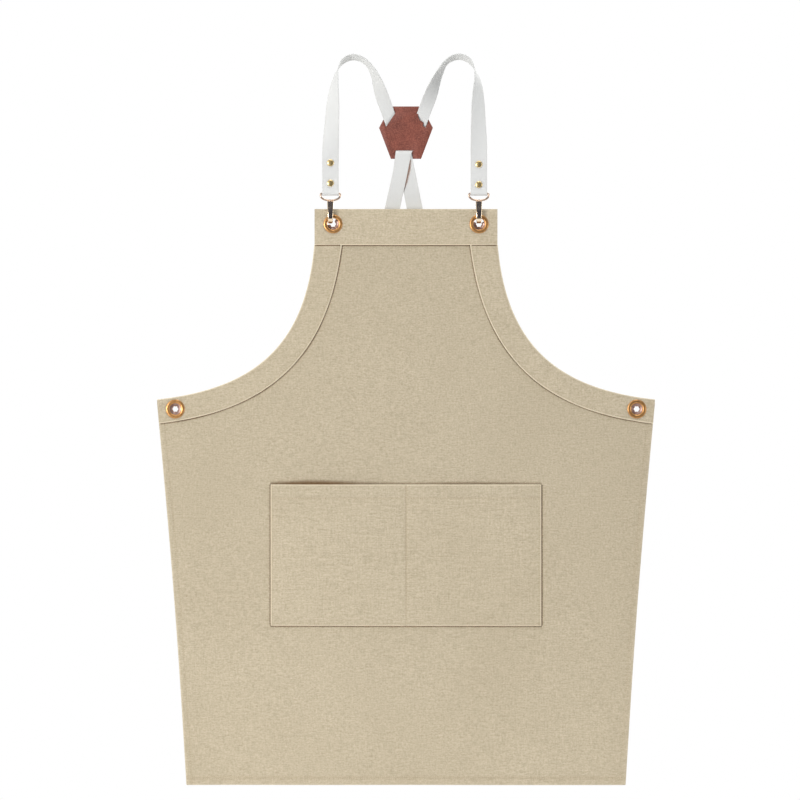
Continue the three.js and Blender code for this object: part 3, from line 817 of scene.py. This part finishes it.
panel = makePanel()
band = makeBand()
facings = [makeFacing(word) for word in hands]
pocketCloth = makePocket()
print("canvas is cut and hemmed")

# Stitches

stitch = {
    "pitch": 3.1,
    "length": 2.3,
    "radius": 0.32,
    "barrel": 0.7,
    "sides": 6,
    "sunk": 0.22,
    "proud": 0.12,
}


# Evenly spaced places along a line, each with the line's direction there.
def spaced(line, pitch):
    line = np.array(line, float)
    steps = np.linalg.norm(np.diff(line, axis=0), axis=1)
    run = np.concatenate([[0], np.cumsum(steps)])
    marks = np.arange(pitch / 2, run[-1] - pitch / 4, pitch)
    at, ahead, behind = (
        np.stack([np.interp(places, run, line[:, i]) for i in range(3)], axis=1)
        for places in (marks, np.minimum(marks + 0.5, run[-1]), np.maximum(marks - 0.5, 0))
    )
    return at, ahead - behind


def sew(name, lines):
    sides, length = stitch["sides"], stitch["length"]
    clear()
    bpy.ops.mesh.primitive_cylinder_add(
        vertices=sides, radius=stitch["radius"], depth=length * stitch["barrel"]
    )
    single = bpy.context.object
    points = [np.array(v.co) for v in single.data.vertices]
    faces = [tuple(p.vertices) for p in single.data.polygons if len(p.vertices) == 4]
    bpy.data.objects.remove(single)
    for end in (-1, 1):
        ring = [i for i, p in enumerate(points) if p[2] * end > 0]
        ring = sorted(ring, key=lambda i: math.atan2(points[i][1], points[i][0]))[::end]
        faces += [(ring[i], ring[(i + 1) % sides], 2 * sides + (end > 0)) for i in range(sides)]
    points += [np.array((0, 0, -length / 2)), np.array((0, 0, length / 2))]
    shape = np.array(points)
    vertices, polygons = [], []
    for line in lines:
        for at, way in zip(*spaced(line, stitch["pitch"])):
            way = unit(way)
            up = unit(np.cross(way, (0, 1, 0)))
            out = np.cross(up, way)
            start = len(vertices)
            for x, y, z in shape:
                sunk = stitch["sunk"] * (abs(z) / (length / 2)) ** 2
                vertices.append((at + up * x + out * y + way * z + np.array((0, sunk, 0))) * mm)
            polygons += [tuple(start + i for i in face) for face in faces]
    mesh = bpy.data.meshes.new(name)
    mesh.from_pydata([tuple(v) for v in vertices], [], polygons)
    piece = bpy.data.objects.new(name, mesh)
    bpy.context.collection.objects.link(piece)
    edit(piece, faceOut)
    bpy.ops.object.shade_smooth()
    ship(piece, "apron", "canvas", "thread")
    return piece


def sewAll():
    face = -cloth["thickness"] / 2 - stitch["proud"]
    hemSides = []
    for side in hands.values():
        zs = np.linspace(cloth["hem"] + 2, cloth["waist"] - 36, 160)
        xs = side * (sideAt(zs) - cloth["sideSeam"])
        hemSides.append(np.stack([xs, face + 0.2 + hang(xs, zs), zs], axis=1))
    hemLow = []
    for rise in cloth["bottomSeams"]:
        reach = sideAt(cloth["hem"] + rise) - 2
        xs = np.linspace(-reach, reach, 160)
        zs = np.full_like(xs, cloth["hem"] + rise)
        hemLow.append(np.stack([xs, face + 0.18 + hang(xs, zs), zs], axis=1))
    seams = {"stitches_side_hems": hemSides, "stitches_bottom_hem": hemLow}
    xs = np.linspace(-cloth["bibHalf"] + 1.5, cloth["bibHalf"] - 1.5, 80)
    level = cloth["bandBottom"] + cloth["bandSeam"]
    seams["stitches_band"] = [[(x, -2.32, level) for x in xs]]
    shares = np.linspace(0.005, 0.995, 200)
    inner, outer = cloth["facingSeams"]["inner"], cloth["facingSeams"]["armhole"]
    for word, side in hands.items():
        lines = []
        for inset, y in ((facingWidth(shares) - inner, -2.02), (np.full_like(shares, outer), -2.0)):
            spots = facingLine(shares, inset, side)
            lines.append([(x, y + hang(x, z), z) for x, z in spots])
        seams["stitches_facing_" + word] = lines
    half, top, high = pocket["half"], pocket["top"], pocket["height"]
    lines = []
    skin = -cloth["thin"] / 2 - stitch["proud"]
    for x in (-half + pocket["seam"], half - pocket["seam"], 0):
        zs = np.linspace(top - high + 2, top - 1.5, 90)
        extra = 0.45 if x == 0 else 0.15
        lines.append([(x, pocketDepth(x, z) + extra + skin + hang(x, z), z) for z in zs])
    for z, extra in ((top - high + pocket["seam"], 0.2), (top - pocket["hem"], 0.45)):
        xs = np.linspace(-half + 2, half - 2, 180)
        lines.append([(x, pocketDepth(x, z) + extra + skin + hang(x, z), z) for x in xs])
    seams["stitches_pocket"] = lines
    return [sew(name, lines) for name, lines in seams.items()]


seams = sewAll()
print("seams are sewn")

# Painted soft shadows where a folded edge lies on the cloth below: see-through dark strips

# Colours and strengths of the painted shadow strips.
crease = {
    "colour": (0.27, 0.15, 0.065, 1),
    # pink_shade: colour of the painted shade on the lower strap where the straps cross
    "pink_shade": (0.50, 0.30, 0.215, 1),
    "deep": (0.1, 0.06, 0.03, 1),
    "thickness": 0.08,
    "shares": (0, 0.25, 0.5, 0.75, 1),
    "facing": {"left": 0.95, "right": 0.62},
    "pocket": {"left": 0.5, "right": 0.8},
    "pocketLow": 0.55,
    "crossing": 0.95,
}


def paintedShadowFinish(name, colour):
    finish = Finish(name, Roughness=0.95, Specular_IOR_Level=0.1)
    u, v, _ = finish.parts(finish.strip())
    spot = finish.place()
    rough = finish.noise(spot, 420, 2, 0.6)
    # Dark brown, fading out across the strip: a painted shadow.
    finish.feed("Base Color", finish.tint(rough * 0.3, colour, crease["deep"]))
    finish.feed("Alpha", ((1 - u) ** 1.4) * v * (rough * 0.7 + 0.65))
    finish.material.surface_render_method = "BLENDED"
    return finish.material


# See-through dark strips: painted shadow on the canvas, painted shade on the webbing.
materials["crease"] = paintedShadowFinish("canvas_painted_shadow", crease["colour"])
materials["pink_shade"] = paintedShadowFinish("webbing_pink_shade", crease["pink_shade"])


# near is the line at the folded edge, far the line where the painted shadow has faded; strong, the
# shadow's strength, is given along both.
def layPaintedShadow(name, near, far, strong, body="apron", slot="canvas", material="crease"):
    near, far = np.array(near), np.array(far)
    places = np.stack([near + (far - near) * share for share in crease["shares"]], axis=1)
    piece = clothGrid(name, places)
    uv = piece.data.uv_layers["UVMap"].data
    for loop in piece.data.loops:
        row, column = divmod(loop.vertex_index, len(crease["shares"]))
        uv[loop.index].uv = (crease["shares"][column], strong[row])
    thicken(piece, crease["thickness"], 0)
    ship(piece, body, slot, material)


def laid(x, z, y):
    return (x, y + hang(x, z), z)


# Painted shadows along the facings' inner edges, below the band and round the pocket.
def layPaintedShadows():
    skin = -cloth["thickness"] / 2 - 0.07
    shares = np.linspace(0.0, 0.995, 140)
    for word, side in hands.items():
        width = facingWidth(shares)
        near = [laid(x, z, skin - 0.35) for x, z in facingLine(shares, width - 0.5, side)]
        far = [laid(x, z, skin) for x, z in facingLine(shares, width + 3.0, side)]
        steady = crease["facing"][word] * (0.8 + 0.2 * np.sin(shares * 23))
        layPaintedShadow("painted_shadow_facing_" + word, near, far, steady)
    xs = np.linspace(-cloth["bibHalf"] + 1, cloth["bibHalf"] - 1, 90)
    low = cloth["bandBottom"]
    onFacing = np.clip((np.abs(xs) - 89) / 3, 0, 1)
    near = [(x, skin - 1.55 * k - 0.1, low - 0.1) for x, k in zip(xs, onFacing)]
    far = [(x, skin - 1.5 * k, low - 2.7) for x, k in zip(xs, onFacing)]
    layPaintedShadow("painted_shadow_band", near, far, 0.78 - 0.2 * onFacing)
    half, top, bottom = pocket["half"], pocket["top"], pocket["top"] - pocket["height"]
    zs = np.linspace(bottom, top, 60)
    for word, side in hands.items():
        near = [laid(side * (half - 0.3), z, skin - 0.2) for z in zs]
        far = [laid(side * (half + 3.2), z, skin) for z in zs]
        layPaintedShadow("painted_shadow_pocket_" + word, near, far, np.full(len(zs), crease["pocket"][word]))
    xs = np.linspace(-half - 1, half + 1, 120)
    near = [laid(x, bottom + 0.4, skin - 0.2) for x in xs]
    far = [laid(x, bottom - 3.2, skin) for x in xs]
    layPaintedShadow("painted_shadow_pocket_low", near, far, np.full(len(xs), crease["pocketLow"]))
    # Painted shadow above the pocket's mouth, wider where it gapes.
    gape = 0.32 + 0.6 * np.exp(-(((xs + 128) / 55) ** 2)) + 0.14 * np.exp(-(((xs - 95) / 60) ** 2))
    near = [laid(x, top - 1.5, skin) for x in xs]
    far = [laid(x, top + 3 + 5.5 * g, skin) for x, g in zip(xs, gape)]
    layPaintedShadow("painted_shadow_pocket_mouth", near, far, gape)


# Lays the painted shadow strips.
layPaintedShadows()
print("painted shadows are laid")

# Straps: a row is (x, y, z, turn in degrees, width) on the strap's middle line

strap = {
    "thickness": 1.3,
    "narrower": 0.4,
    "ply": 0.85,
    "round": 2.4,
    "foldLength": 50,
    "foldMouth": 5.5,
    "foldWidth": 23.6,
    "across": 16,
    "width": 24,
    "archTilt": math.radians(16),
    "front": {"left": (-105.8, 0, -188.4), "right": (102, 0, -188.4)},
    "back": {"left": (-63, 17.15, -640), "right": (59, 18.85, -640)},
    "route": {
        "left": [
        (-105.4, -0.7, -122, -10, 24), (-104.8, -0.2, -108, -22, 24), (-103.8, 0.6, -91, -31, 24),
        (-102.4, 2.6, -62, -42, 24), (-101.2, 5, -44, -55, 24), (-99.5, 7, -30, -66, 24),
        (-96.8, 8.5, -17, -78, 24), (-90.5, 9.6, -4.6, -88, 24), (-83, 10, 1.2, -90, 24),
        (-75.5, 10.4, 3.4, -90, 24), (-68, 10.8, 2.6, -90, 24), (-60, 11.6, -0.8, -90, 24),
        (-52.5, 13, -7, -86, 24), (-46.5, 14.6, -15.5, -76, 24), (-42, 16, -25.5, -64, 23),
        (-37.5, 17.6, -39, -44, 22), (-33.2, 18.8, -52, -22, 20.5), (-28.5, 19.6, -65, -5, 19),
        (-25, 19.7, -75, 0, 18.5), (-21.7, 19.7, -84, 0, 18.5), (-18.2, 19.7, -93, 0, 18.5),
        (-14.5, 19.7, -102, 0, 19.5), (-9, 19.7, -115, 0, 21), (-5, 19.7, -125, 0, 21.5),
        (-3.2, 19.7, -131, 0, 21.5), (-1.8, 19.7, -137, 0, 21.5), (2, 19.7, -155, 0, 21.5),
        (11.7, 19.7, -206, 0, 22.5), (21.5, 19.7, -255, 0, 23.5), (33, 19.7, -320, 0, 24),
        (45, 19.7, -400, 0, 24), (53.5, 19.7, -480, 0, 24), (58, 19.7, -550, 0, 24),
        ],
        "right": [
        (102, -0.7, -122, 10, 24), (101.8, -0.2, -108, 20, 24), (101.4, 0.6, -91, 28, 24),
        (101, 2.6, -62, 40, 24), (101, 5, -44, 52, 24), (100.4, 7, -30, 66, 24),
        (97.6, 8.5, -17, 78, 24), (91.5, 9.6, -4.6, 88, 24), (84, 10, 1.6, 90, 24),
        (76, 10.4, 4, 90, 24), (68, 10.8, 3, 90, 24), (60, 11.6, -0.8, 90, 24),
        (53.5, 13, -7, 86, 24), (48.5, 14.6, -15.5, 76, 24), (43.5, 16, -25.5, 64, 23),
        (38.2, 17.6, -39, 44, 22), (33.6, 18.8, -52, 22, 20.5), (28.6, 19.6, -65, 5, 19),
        (25, 19.7, -75, 0, 18.5), (21.7, 19.7, -84, 0, 18.5), (18.2, 19.7, -93, 0, 18.5),
        (13.6, 19.7, -102, 0, 19.5), (5, 19.7, -115, 0, 21.5), (-1.8, 19.7, -125, 0, 22.5),
        (-3.6, 19.7, -131, 0, 22.5), (-4.6, 19.7, -137, 0, 22), (-7.6, 19.7, -155, 0, 21),
        (-18.6, 19.7, -206, 0, 21.5), (-28.5, 19.7, -255, 0, 23.5), (-40, 19.7, -320, 0, 24),
        (-51.5, 19.7, -400, 0, 24), (-59, 19.7, -480, 0, 24), (-62.2, 19.7, -550, 0, 24),
        ],
    },
    # where each strap changes depth at the patch:
    # place, direction across the slot, depth, half length
    "slots": {
        "left": [((-21.7, -85), (0.822, -0.569), 6.3, 3), ((0, -131), (0, -1), -6.3, 3)],
        "right": [((22.9, -84.2), (-0.822, -0.569), 4.5, 3), ((0, -128), (0, -1), -6.2, 3)],
    },
}
other = {"left": "right", "right": "left"}


def foldRows(at, facing):
    x, y, z = at
    mouth = strap["foldMouth"]
    ply = strap["ply"]
    length, turn = strap["foldLength"], strap["round"]
    shut = [(mouth, ply + 0.3), (mouth + 2.5, ply), (mouth + 6, ply)]
    shut += [(length * 0.6, ply), (length, ply)]
    rows = [(x, y - facing * half, z + rise) for rise, half in reversed(shut)]
    for i in range(7):
        a = math.pi * i / 6
        rows.append((x, y - facing * turn * math.cos(a), z - turn * math.sin(a)))
    rows += [(x, y + facing * half, z + rise) for rise, half in shut]
    return [(*row, 0, strap["foldWidth"]) for row in rows]


def depthShift(side, share, point):
    if share < 0.3 or point[2] > -50:
        return 0
    total = 0
    for at, past, by, half in strap["slots"][side]:
        distance = (point[0] - at[0]) * past[0] + (point[2] - at[1]) * past[1]
        s = min(1, max(0, (distance + half) / (2 * half)))
        total += by * s * s * (3 - 2 * s)
    return total


def makeStrap(side):
    front = foldRows(strap["front"][side], -1)
    back = foldRows(strap["back"][other[side]], 1)[::-1]
    total = sum(slot[2] for slot in strap["slots"][side])
    rows = front + strap["route"][side] + [(x, y - total, *rest) for x, y, *rest in back]
    perSpan = 5
    middle = smoothLine([row[:3] for row in rows], perSpan)
    places, lengths = [], [0]
    tilt, count = strap["archTilt"], strap["across"]
    for i, point in enumerate(middle):
        at = min(i / perSpan, len(rows) - 1 - 1e-6)
        row, after, w = rows[int(at)], rows[int(at) + 1], at % 1
        way = unit(middle[min(i + 1, len(middle) - 1)] - middle[max(i - 1, 0)])
        turn = math.radians(row[3] + (after[3] - row[3]) * w)
        lean = math.sin(turn)
        across = np.array((math.cos(turn), lean * math.cos(tilt), -lean * math.sin(tilt)))
        across = unit(across - way * np.dot(across, way))
        up = np.cross(across, way)
        half = (row[4] + (after[4] - row[4]) * w) / 2 - strap["narrower"] / 2
        share = at / (len(rows) - 1)
        for k in range(count + 1):
            u = -1 + 2 * k / count
            puff = 0.10 * math.cos(u * math.pi * 4) * (abs(u) < 0.95)
            spot = point + across * (u * half) + up * puff * 0.5
            places.append(spot + np.array((0, depthShift(side, share, spot), 0)))
        if i:
            lengths.append(lengths[-1] + np.linalg.norm(point - middle[i - 1]))
    places = np.array(places).reshape(len(middle), count + 1, 3)
    piece = clothGrid("strap_webbing_" + side, places)
    uv = piece.data.uv_layers["UVMap"].data
    for loop in piece.data.loops:
        row, column = divmod(loop.vertex_index, count + 1)
        uv[loop.index].uv = (column / count * strap["width"] * mm, lengths[row] * mm)
    thicken(piece, strap["thickness"], 0.38)
    ship(piece, "straps", "webbing", "webbing", "strap_" + side)
    return piece, lengths[-1] * mm


straps = {side: makeStrap(side) for side in ("left", "right")}
print("straps are laid:", {side: round(length, 3) for side, (piece, length) in straps.items()})

# Leather patch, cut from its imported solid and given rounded, burnished edges


def makePatch():
    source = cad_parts["leather_patch"]
    piece = source.copy()
    piece.data = source.data.copy()
    piece.name = piece.data.name = "cross_patch_leather"
    piece.parent = None
    for key in list(piece.keys()):
        del piece[key]
    bpy.context.collection.objects.link(piece)
    edit(
        piece,
        (bpy.ops.mesh.remove_doubles, {"threshold": 1e-5}),
        (bpy.ops.mesh.dissolve_limited, {"angle_limit": math.radians(2)}),
    )
    roundEdges(piece, 0.45, 40, 3)
    ship(piece, "straps", "leather", "leather", "leather_patch")
    piece.data.materials.append(materials["leatherCut"])
    for face in piece.data.polygons:
        face.material_index = 1 if abs(face.normal.y) < 0.6 else 0
    smooth(40)


# Painted shade on the lower strap beside the strap that crosses over it: a see-through
# pinkish-brown strip.
def makeCrossing():
    shares = np.linspace(0, 1, 40)
    heights = -140 - 45 * shares
    edges = np.interp(-heights, [137, 155, 206], [-4.6, -7.6, -18.6]) + 10.9
    reach = np.interp(shares, [0, 0.3, 0.7, 1], [2.2, 4, 3.2, 0.2])
    near = [(x - 0.8, 18.85, z) for x, z in zip(edges, heights)]
    far = [(x + w, 18.85, z) for x, w, z in zip(edges, reach, heights)]
    strong = np.full(len(shares), crease["crossing"])
    layPaintedShadow("painted_shade_crossing", near, far, strong, "straps", "webbing", "pink_shade")


makePatch()
makeCrossing()
print("patch is cut")

# Eyelets and rivets

ringShape = {"hole": 8, "flange": 13.2, "washer": 12.6, "lip": 5.2, "hookGap": 1.12, "hookAt": 6.2}


def makeEyelet(place):
    x, z = eyelets[place]
    back = 2.1 if place.startswith("bib") else 0.6
    seat = back + 0.3
    curl = seat + 1.1
    hole, flange = ringShape["hole"], ringShape["flange"]
    profile = [(flange - 0.15, -2.42), (flange, -2.7), (flange - 0.15, -3.1), (flange - 0.7, -3.45)]
    profile += [(flange - 1.6, -3.68), (flange - 2.6, -3.75), (hole + 1.6, -3.62)]
    profile += [(hole + 0.7, -3.35)]
    profile += [(hole + 0.15, -2.8), (hole, -2.0), (hole, curl + 0.2), (hole + 0.15, curl + 0.65)]
    profile += [(hole + 0.7, curl + 0.9), (hole + 1.6, curl + 0.9), (hole + 2.4, curl + 0.6)]
    profile += [(hole + 2.6, curl + 0.2), (hole + 2.4, curl + 0.05), (hole + 0.8, curl + 0.05)]
    profile += [(hole + 0.8, -2.42)]
    ring = turned("eyelet_ring_" + place, profile, (x, 0, z), close=True, steps=64)
    ship(ring, "apron", "eyelet_metal", "eyelet", "eyelet_" + place)
    inner, outer = hole + 1.1, ringShape["washer"]
    washer = [(inner, seat), (outer - 0.25, seat), (outer, seat + 0.2), (outer, seat + 0.55)]
    washer += [(outer - 0.3, seat + 0.8), (inner, seat + 0.8)]
    disc = turned("eyelet_back_" + place, washer, (x, 0, z), close=True, steps=64)
    ship(disc, "apron", "eyelet_metal", "eyelet", "eyelet_washer_" + place)
    makeLip(place, x, z, curl)


# The torn barrel end inside the hole: short petals leaning in, left open where a hook passes.
def makeLip(place, x, z, depth):
    gap, middle = 0, math.pi / 2
    if place.startswith("bib"):
        gap = ringShape["hookGap"]
        middle -= math.asin((strap["front"][place[4:]][0] - x) / ringShape["hookAt"])
    frames = []
    for share in np.linspace(0, 1, 97 if gap else 96, endpoint=bool(gap)):
        a = middle + gap + (tau - 2 * gap) * share
        radial = np.array((math.cos(a), 0, math.sin(a)))
        lean = unit(-radial + np.array((0, 0.55, 0)))
        reach = ringShape["lip"] * (0.8 + 0.2 * abs(math.sin(3 * a)))
        root = np.array((x, depth - 1.4, z)) + radial * (ringShape["hole"] + 0.1)
        out = unit(np.cross(lean, np.cross(radial, lean)))
        frames.append((root + lean * reach / 2, lean, out, reach / 2, 0.28))
    petals = sweep("eyelet_lip_" + place, frames, roundSection(8, 0.6), ring=not gap)
    # The petals take the darker lip metal: painted shade inside the hole.
    ship(petals, "apron", "eyelet_metal", "lip")


rivet = {
    "cap": 4.75,
    "base": 4.3,
    "post": 1.35,
    "seat": 1.85,
    "spacing": 28.5,
    "lower": {"left": 14.5, "right": 12.5},
}


def makeRivet(name, at, turn):
    cap, post, seat = rivet["cap"], rivet["post"], rivet["seat"]
    profile = [(0, -seat - 1.5)]
    turns = np.linspace(0.15, 1.5, 9)
    profile += [(cap * math.sin(a), -seat - 0.35 - 1.15 * math.cos(a)) for a in turns]
    profile += [(cap, -seat - 0.2), (cap - 0.25, -seat), (post, -seat), (post, seat + 0.6)]
    profile += [(post - 0.4, seat + 0.9), (0, seat + 0.9)]
    dome = turned("rivet_dome_" + name, profile, at, turn)
    ship(dome, "straps", "rivet_brass", "rivet", "rivet_cap_" + name)
    base = rivet["base"]
    flat = [(post + 0.3, seat), (base - 0.15, seat), (base, seat + 0.2), (base - 0.15, seat + 0.6)]
    flat += [(base - 0.7, seat + 0.85), (post + 1.2, seat + 0.75), (post + 0.3, seat + 0.9)]
    ring = turned("rivet_ring_" + name, flat, at, turn, close=True)
    ship(ring, "straps", "rivet_brass", "rivet", "rivet_base_" + name)


for place in eyelets:
    makeEyelet(place)
for side in ("left", "right"):
    for level, rise in (("lower", 0), ("upper", rivet["spacing"])):
        up = rivet["lower"][side] + rise
        x, y, z = strap["front"][side]
        makeRivet(f"front_{side}_{level}", (x, y, z + up), 0)
        x, y, z = strap["back"][other[side]]
        makeRivet(f"back_{other[side]}_{level}", (x, y, z + up), math.pi)
print("eyelets and rivets are set")

# Snap hooks, drawn with the loop bar along X at the origin and then set in place

clasp = {
    "wire": 1.42,
    "drop": 9.6,
    "side": 13.7,
    "collar": 4.5,
    "collarTop": -11.3,
    "collarBottom": -18.1,
    "pivot": (6.4, -20.7),
    "throat": 8.0,
    "length": 39.8,
    "halfWide": 4.6,
    "bendWide": 2.3,
    "halfDeep": 2.2,
    "square": 0.4,
    "lug": {"out": 2.45, "wide": 0.62, "deep": 2.0},
    "gate": {"wide": 1.45, "deep": 1.0},
}


# A turned piece stood along Z; what lies beyond a radius is squared off in plan.
def turnedUp(name, profile, place, beyond=1000):
    piece = turned(name, profile, (0, 0, 0), steps=40)
    for vertex in piece.data.vertices:
        spot = vertex.co
        radius = math.hypot(spot.x, spot.z)
        if radius > beyond * mm:
            spot.x = radius * squared(spot.x / radius, clasp["square"])
            spot.z = radius * squared(spot.z / radius, clasp["square"])
    piece.data.transform(place @ Matrix.Rotation(math.pi / 2, 4, "X"))
    return piece


def joined(name, pieces):
    take(pieces[0])
    for piece in pieces[1:]:
        piece.select_set(True)
    bpy.ops.object.join()
    pieces[0].name = pieces[0].data.name = name
    return pieces[0]


def framesAlong(line, wide, deep):
    frames = []
    for i, point in enumerate(line):
        way = unit(line[min(i + 1, len(line) - 1)] - line[max(i - 1, 0)])
        side = np.array((1.0, 0, 0))
        share = i / (len(line) - 1)
        taper = 1 - 0.35 * max(0, (share - 0.93) / 0.07) if share > 0.93 else 1
        half = wide[0] + (wide[1] - wide[0]) * share
        frames.append((point, side, np.cross(way, side), half * taper, deep * taper))
    return frames


def makeLoop(word, place):
    name = "clasp_loop_" + word
    s, drop = clasp["side"], clasp["drop"]
    half = [(s - 1.6, 0), (s - 0.4, -0.7), (s, -2.4), (s - 0.7, -5), (s - 3.8, -drop + 1.9)]
    half += [(s * 0.36, -drop + 0.4)]
    ring = [(0, 0), *half, (0, -drop), *[(-x, z) for x, z in reversed(half)], (0, 0)]
    line = smoothLine([(x, 0, z) for x, z in ring], 8)[:-1]
    frames = []
    for i, point in enumerate(line):
        way = unit(line[(i + 1) % len(line)] - line[i - 1])
        side = np.array((0, 1.0, 0))
        frames.append((point, side, np.cross(way, side), clasp["wire"], clasp["wire"]))
    wire = sweep(name, frames, roundSection(14), ring=True)
    wire.data.transform(place)
    crown = -drop - clasp["wire"]
    post = [(0, crown + 2.6), (1.5, crown + 2.5), (2.1, crown + 1.9), (2.1, crown + 0.3)]
    post += [(1.8, crown), (1.3, crown - 0.2), (1.3, crown - 4.4), (2.1, crown - 4.6)]
    post += [(2.1, crown - 5.6), (1.9, crown - 5.8), (0, crown - 5.8)]
    stud = turnedUp(name + "_post", post, place)
    piece = joined(name, [wire, stud])
    ship(piece, "loop_" + word, "hook_metal", "loop", "loop_" + word)


def makeHook(word, place):
    name = "clasp_hook_" + word
    top, bottom = clasp["collarTop"], clasp["collarBottom"]
    throat, middle = clasp["throat"], clasp["throat"] - clasp["length"]
    r = clasp["collar"]
    shell = [(1.6, top), (r - 0.9, top), (r - 0.35, top - 0.2), (r - 0.1, top - 0.7)]
    shell += [(r - 0.1, top - 1.3), (r - 0.5, top - 1.6), (r - 0.5, top - 2.1), (r, top - 2.4)]
    shell += [(r, bottom + 1.4), (r - 0.4, bottom + 0.5), (r - 1.4, bottom), (0, bottom)]
    shell += [(0, top - 6.1), (2.4, top - 6.1), (2.4, top - 4.0), (1.6, top - 3.9), (1.6, top)]
    collar = turnedUp(name + "_collar", shell, place, 2.5)
    turns = np.linspace(math.pi, tau, 9)
    bend = [(throat * math.cos(a), middle + throat * math.sin(a)) for a in turns]
    points = [(-4.4, top - 0.5), (-5.4, top - 4.5), (-6.35, bottom - 1.5), (-7.5, bottom - 6)]
    points += [(-throat, bottom - 10.5), *bend, (throat, middle + 2.2)]
    line = smoothLine([(0, y, z) for y, z in points], 5)
    frames = framesAlong(line, (clasp["halfWide"], clasp["bendWide"]), clasp["halfDeep"])
    spine = sweep(name, frames, roundSection(24, clasp["square"]))
    py, pz = clasp["pivot"]
    lug = clasp["lug"]
    ears = []
    for side in hands.values():
        route = [(0.4, bottom + 1.4), (3.2, bottom - 0.4), (py + 1.2, pz - 0.6)]
        line = smoothLine([(side * lug["out"], y, z) for y, z in route], 5)
        frames = framesAlong(line, (lug["wide"], lug["wide"]), lug["deep"])
        ears.append(sweep(f"{name}_lug{side}", frames, roundSection(12, 0.7)))
    for part in (spine, *ears):
        part.data.transform(place)
    piece = joined(name, [spine, collar, *ears])
    ship(piece, "snap_hook_" + word, "hook_metal", "hook", "hook_" + word)


def makeGate(word, place):
    gate = clasp["gate"]
    py, pz = clasp["pivot"]
    tip = clasp["throat"] - clasp["length"] + 2.7
    points = [(py - 0.3, pz + 1.4), (py + 0.1, pz - 0.8), (py + 0.7, (pz + tip) / 2)]
    points += [(clasp["throat"], tip)]
    line = smoothLine([(0, y, z) for y, z in points], 6)
    frames = framesAlong(line, (gate["wide"], gate["wide"]), gate["deep"])
    lever = sweep("clasp_gate_" + word, frames, roundSection(14, 0.75))
    lever.data.transform(place)
    ship(lever, "gate_" + word, "hook_metal", "hook", "gate_" + word)


for end in ("front", "back"):
    for side in ("left", "right"):
        at = Matrix.Translation(Vector(strap[end][side]) * mm)
        swivel = at @ Matrix.Rotation(0 if end == "front" else math.pi / 2, 4, "Z")
        word = f"{end}_{side}"
        makeLoop(word, at)
        makeHook(word, swivel)
        makeGate(word, swivel)
        for node, finish in (("gate_pin_" + word, "hook"), ("gate_spring_" + word, "spring")):
            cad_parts[node].data.materials.clear()
            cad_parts[node].data.materials.append(materials[finish])
print("snap hooks are hung")

# Floor

floor = {"z": -1.22, "half": 1.15, "dim": (0.78, 0.78, 0.78, 1), "pale": (0.84, 0.84, 0.84, 1)}


def makeFloor():
    clear()
    bpy.ops.mesh.primitive_plane_add(size=2 * floor["half"], location=(0, 0, floor["z"]))
    piece = bpy.context.object
    piece.name = "studio_floor"
    paint = Finish("floor_white", Roughness=0.7)
    spot = paint.place()
    paint.feed("Base Color", paint.tint(paint.noise(spot, 3, 2), floor["dim"], floor["pale"]))
    piece.data.materials.append(paint.material)


makeFloor()
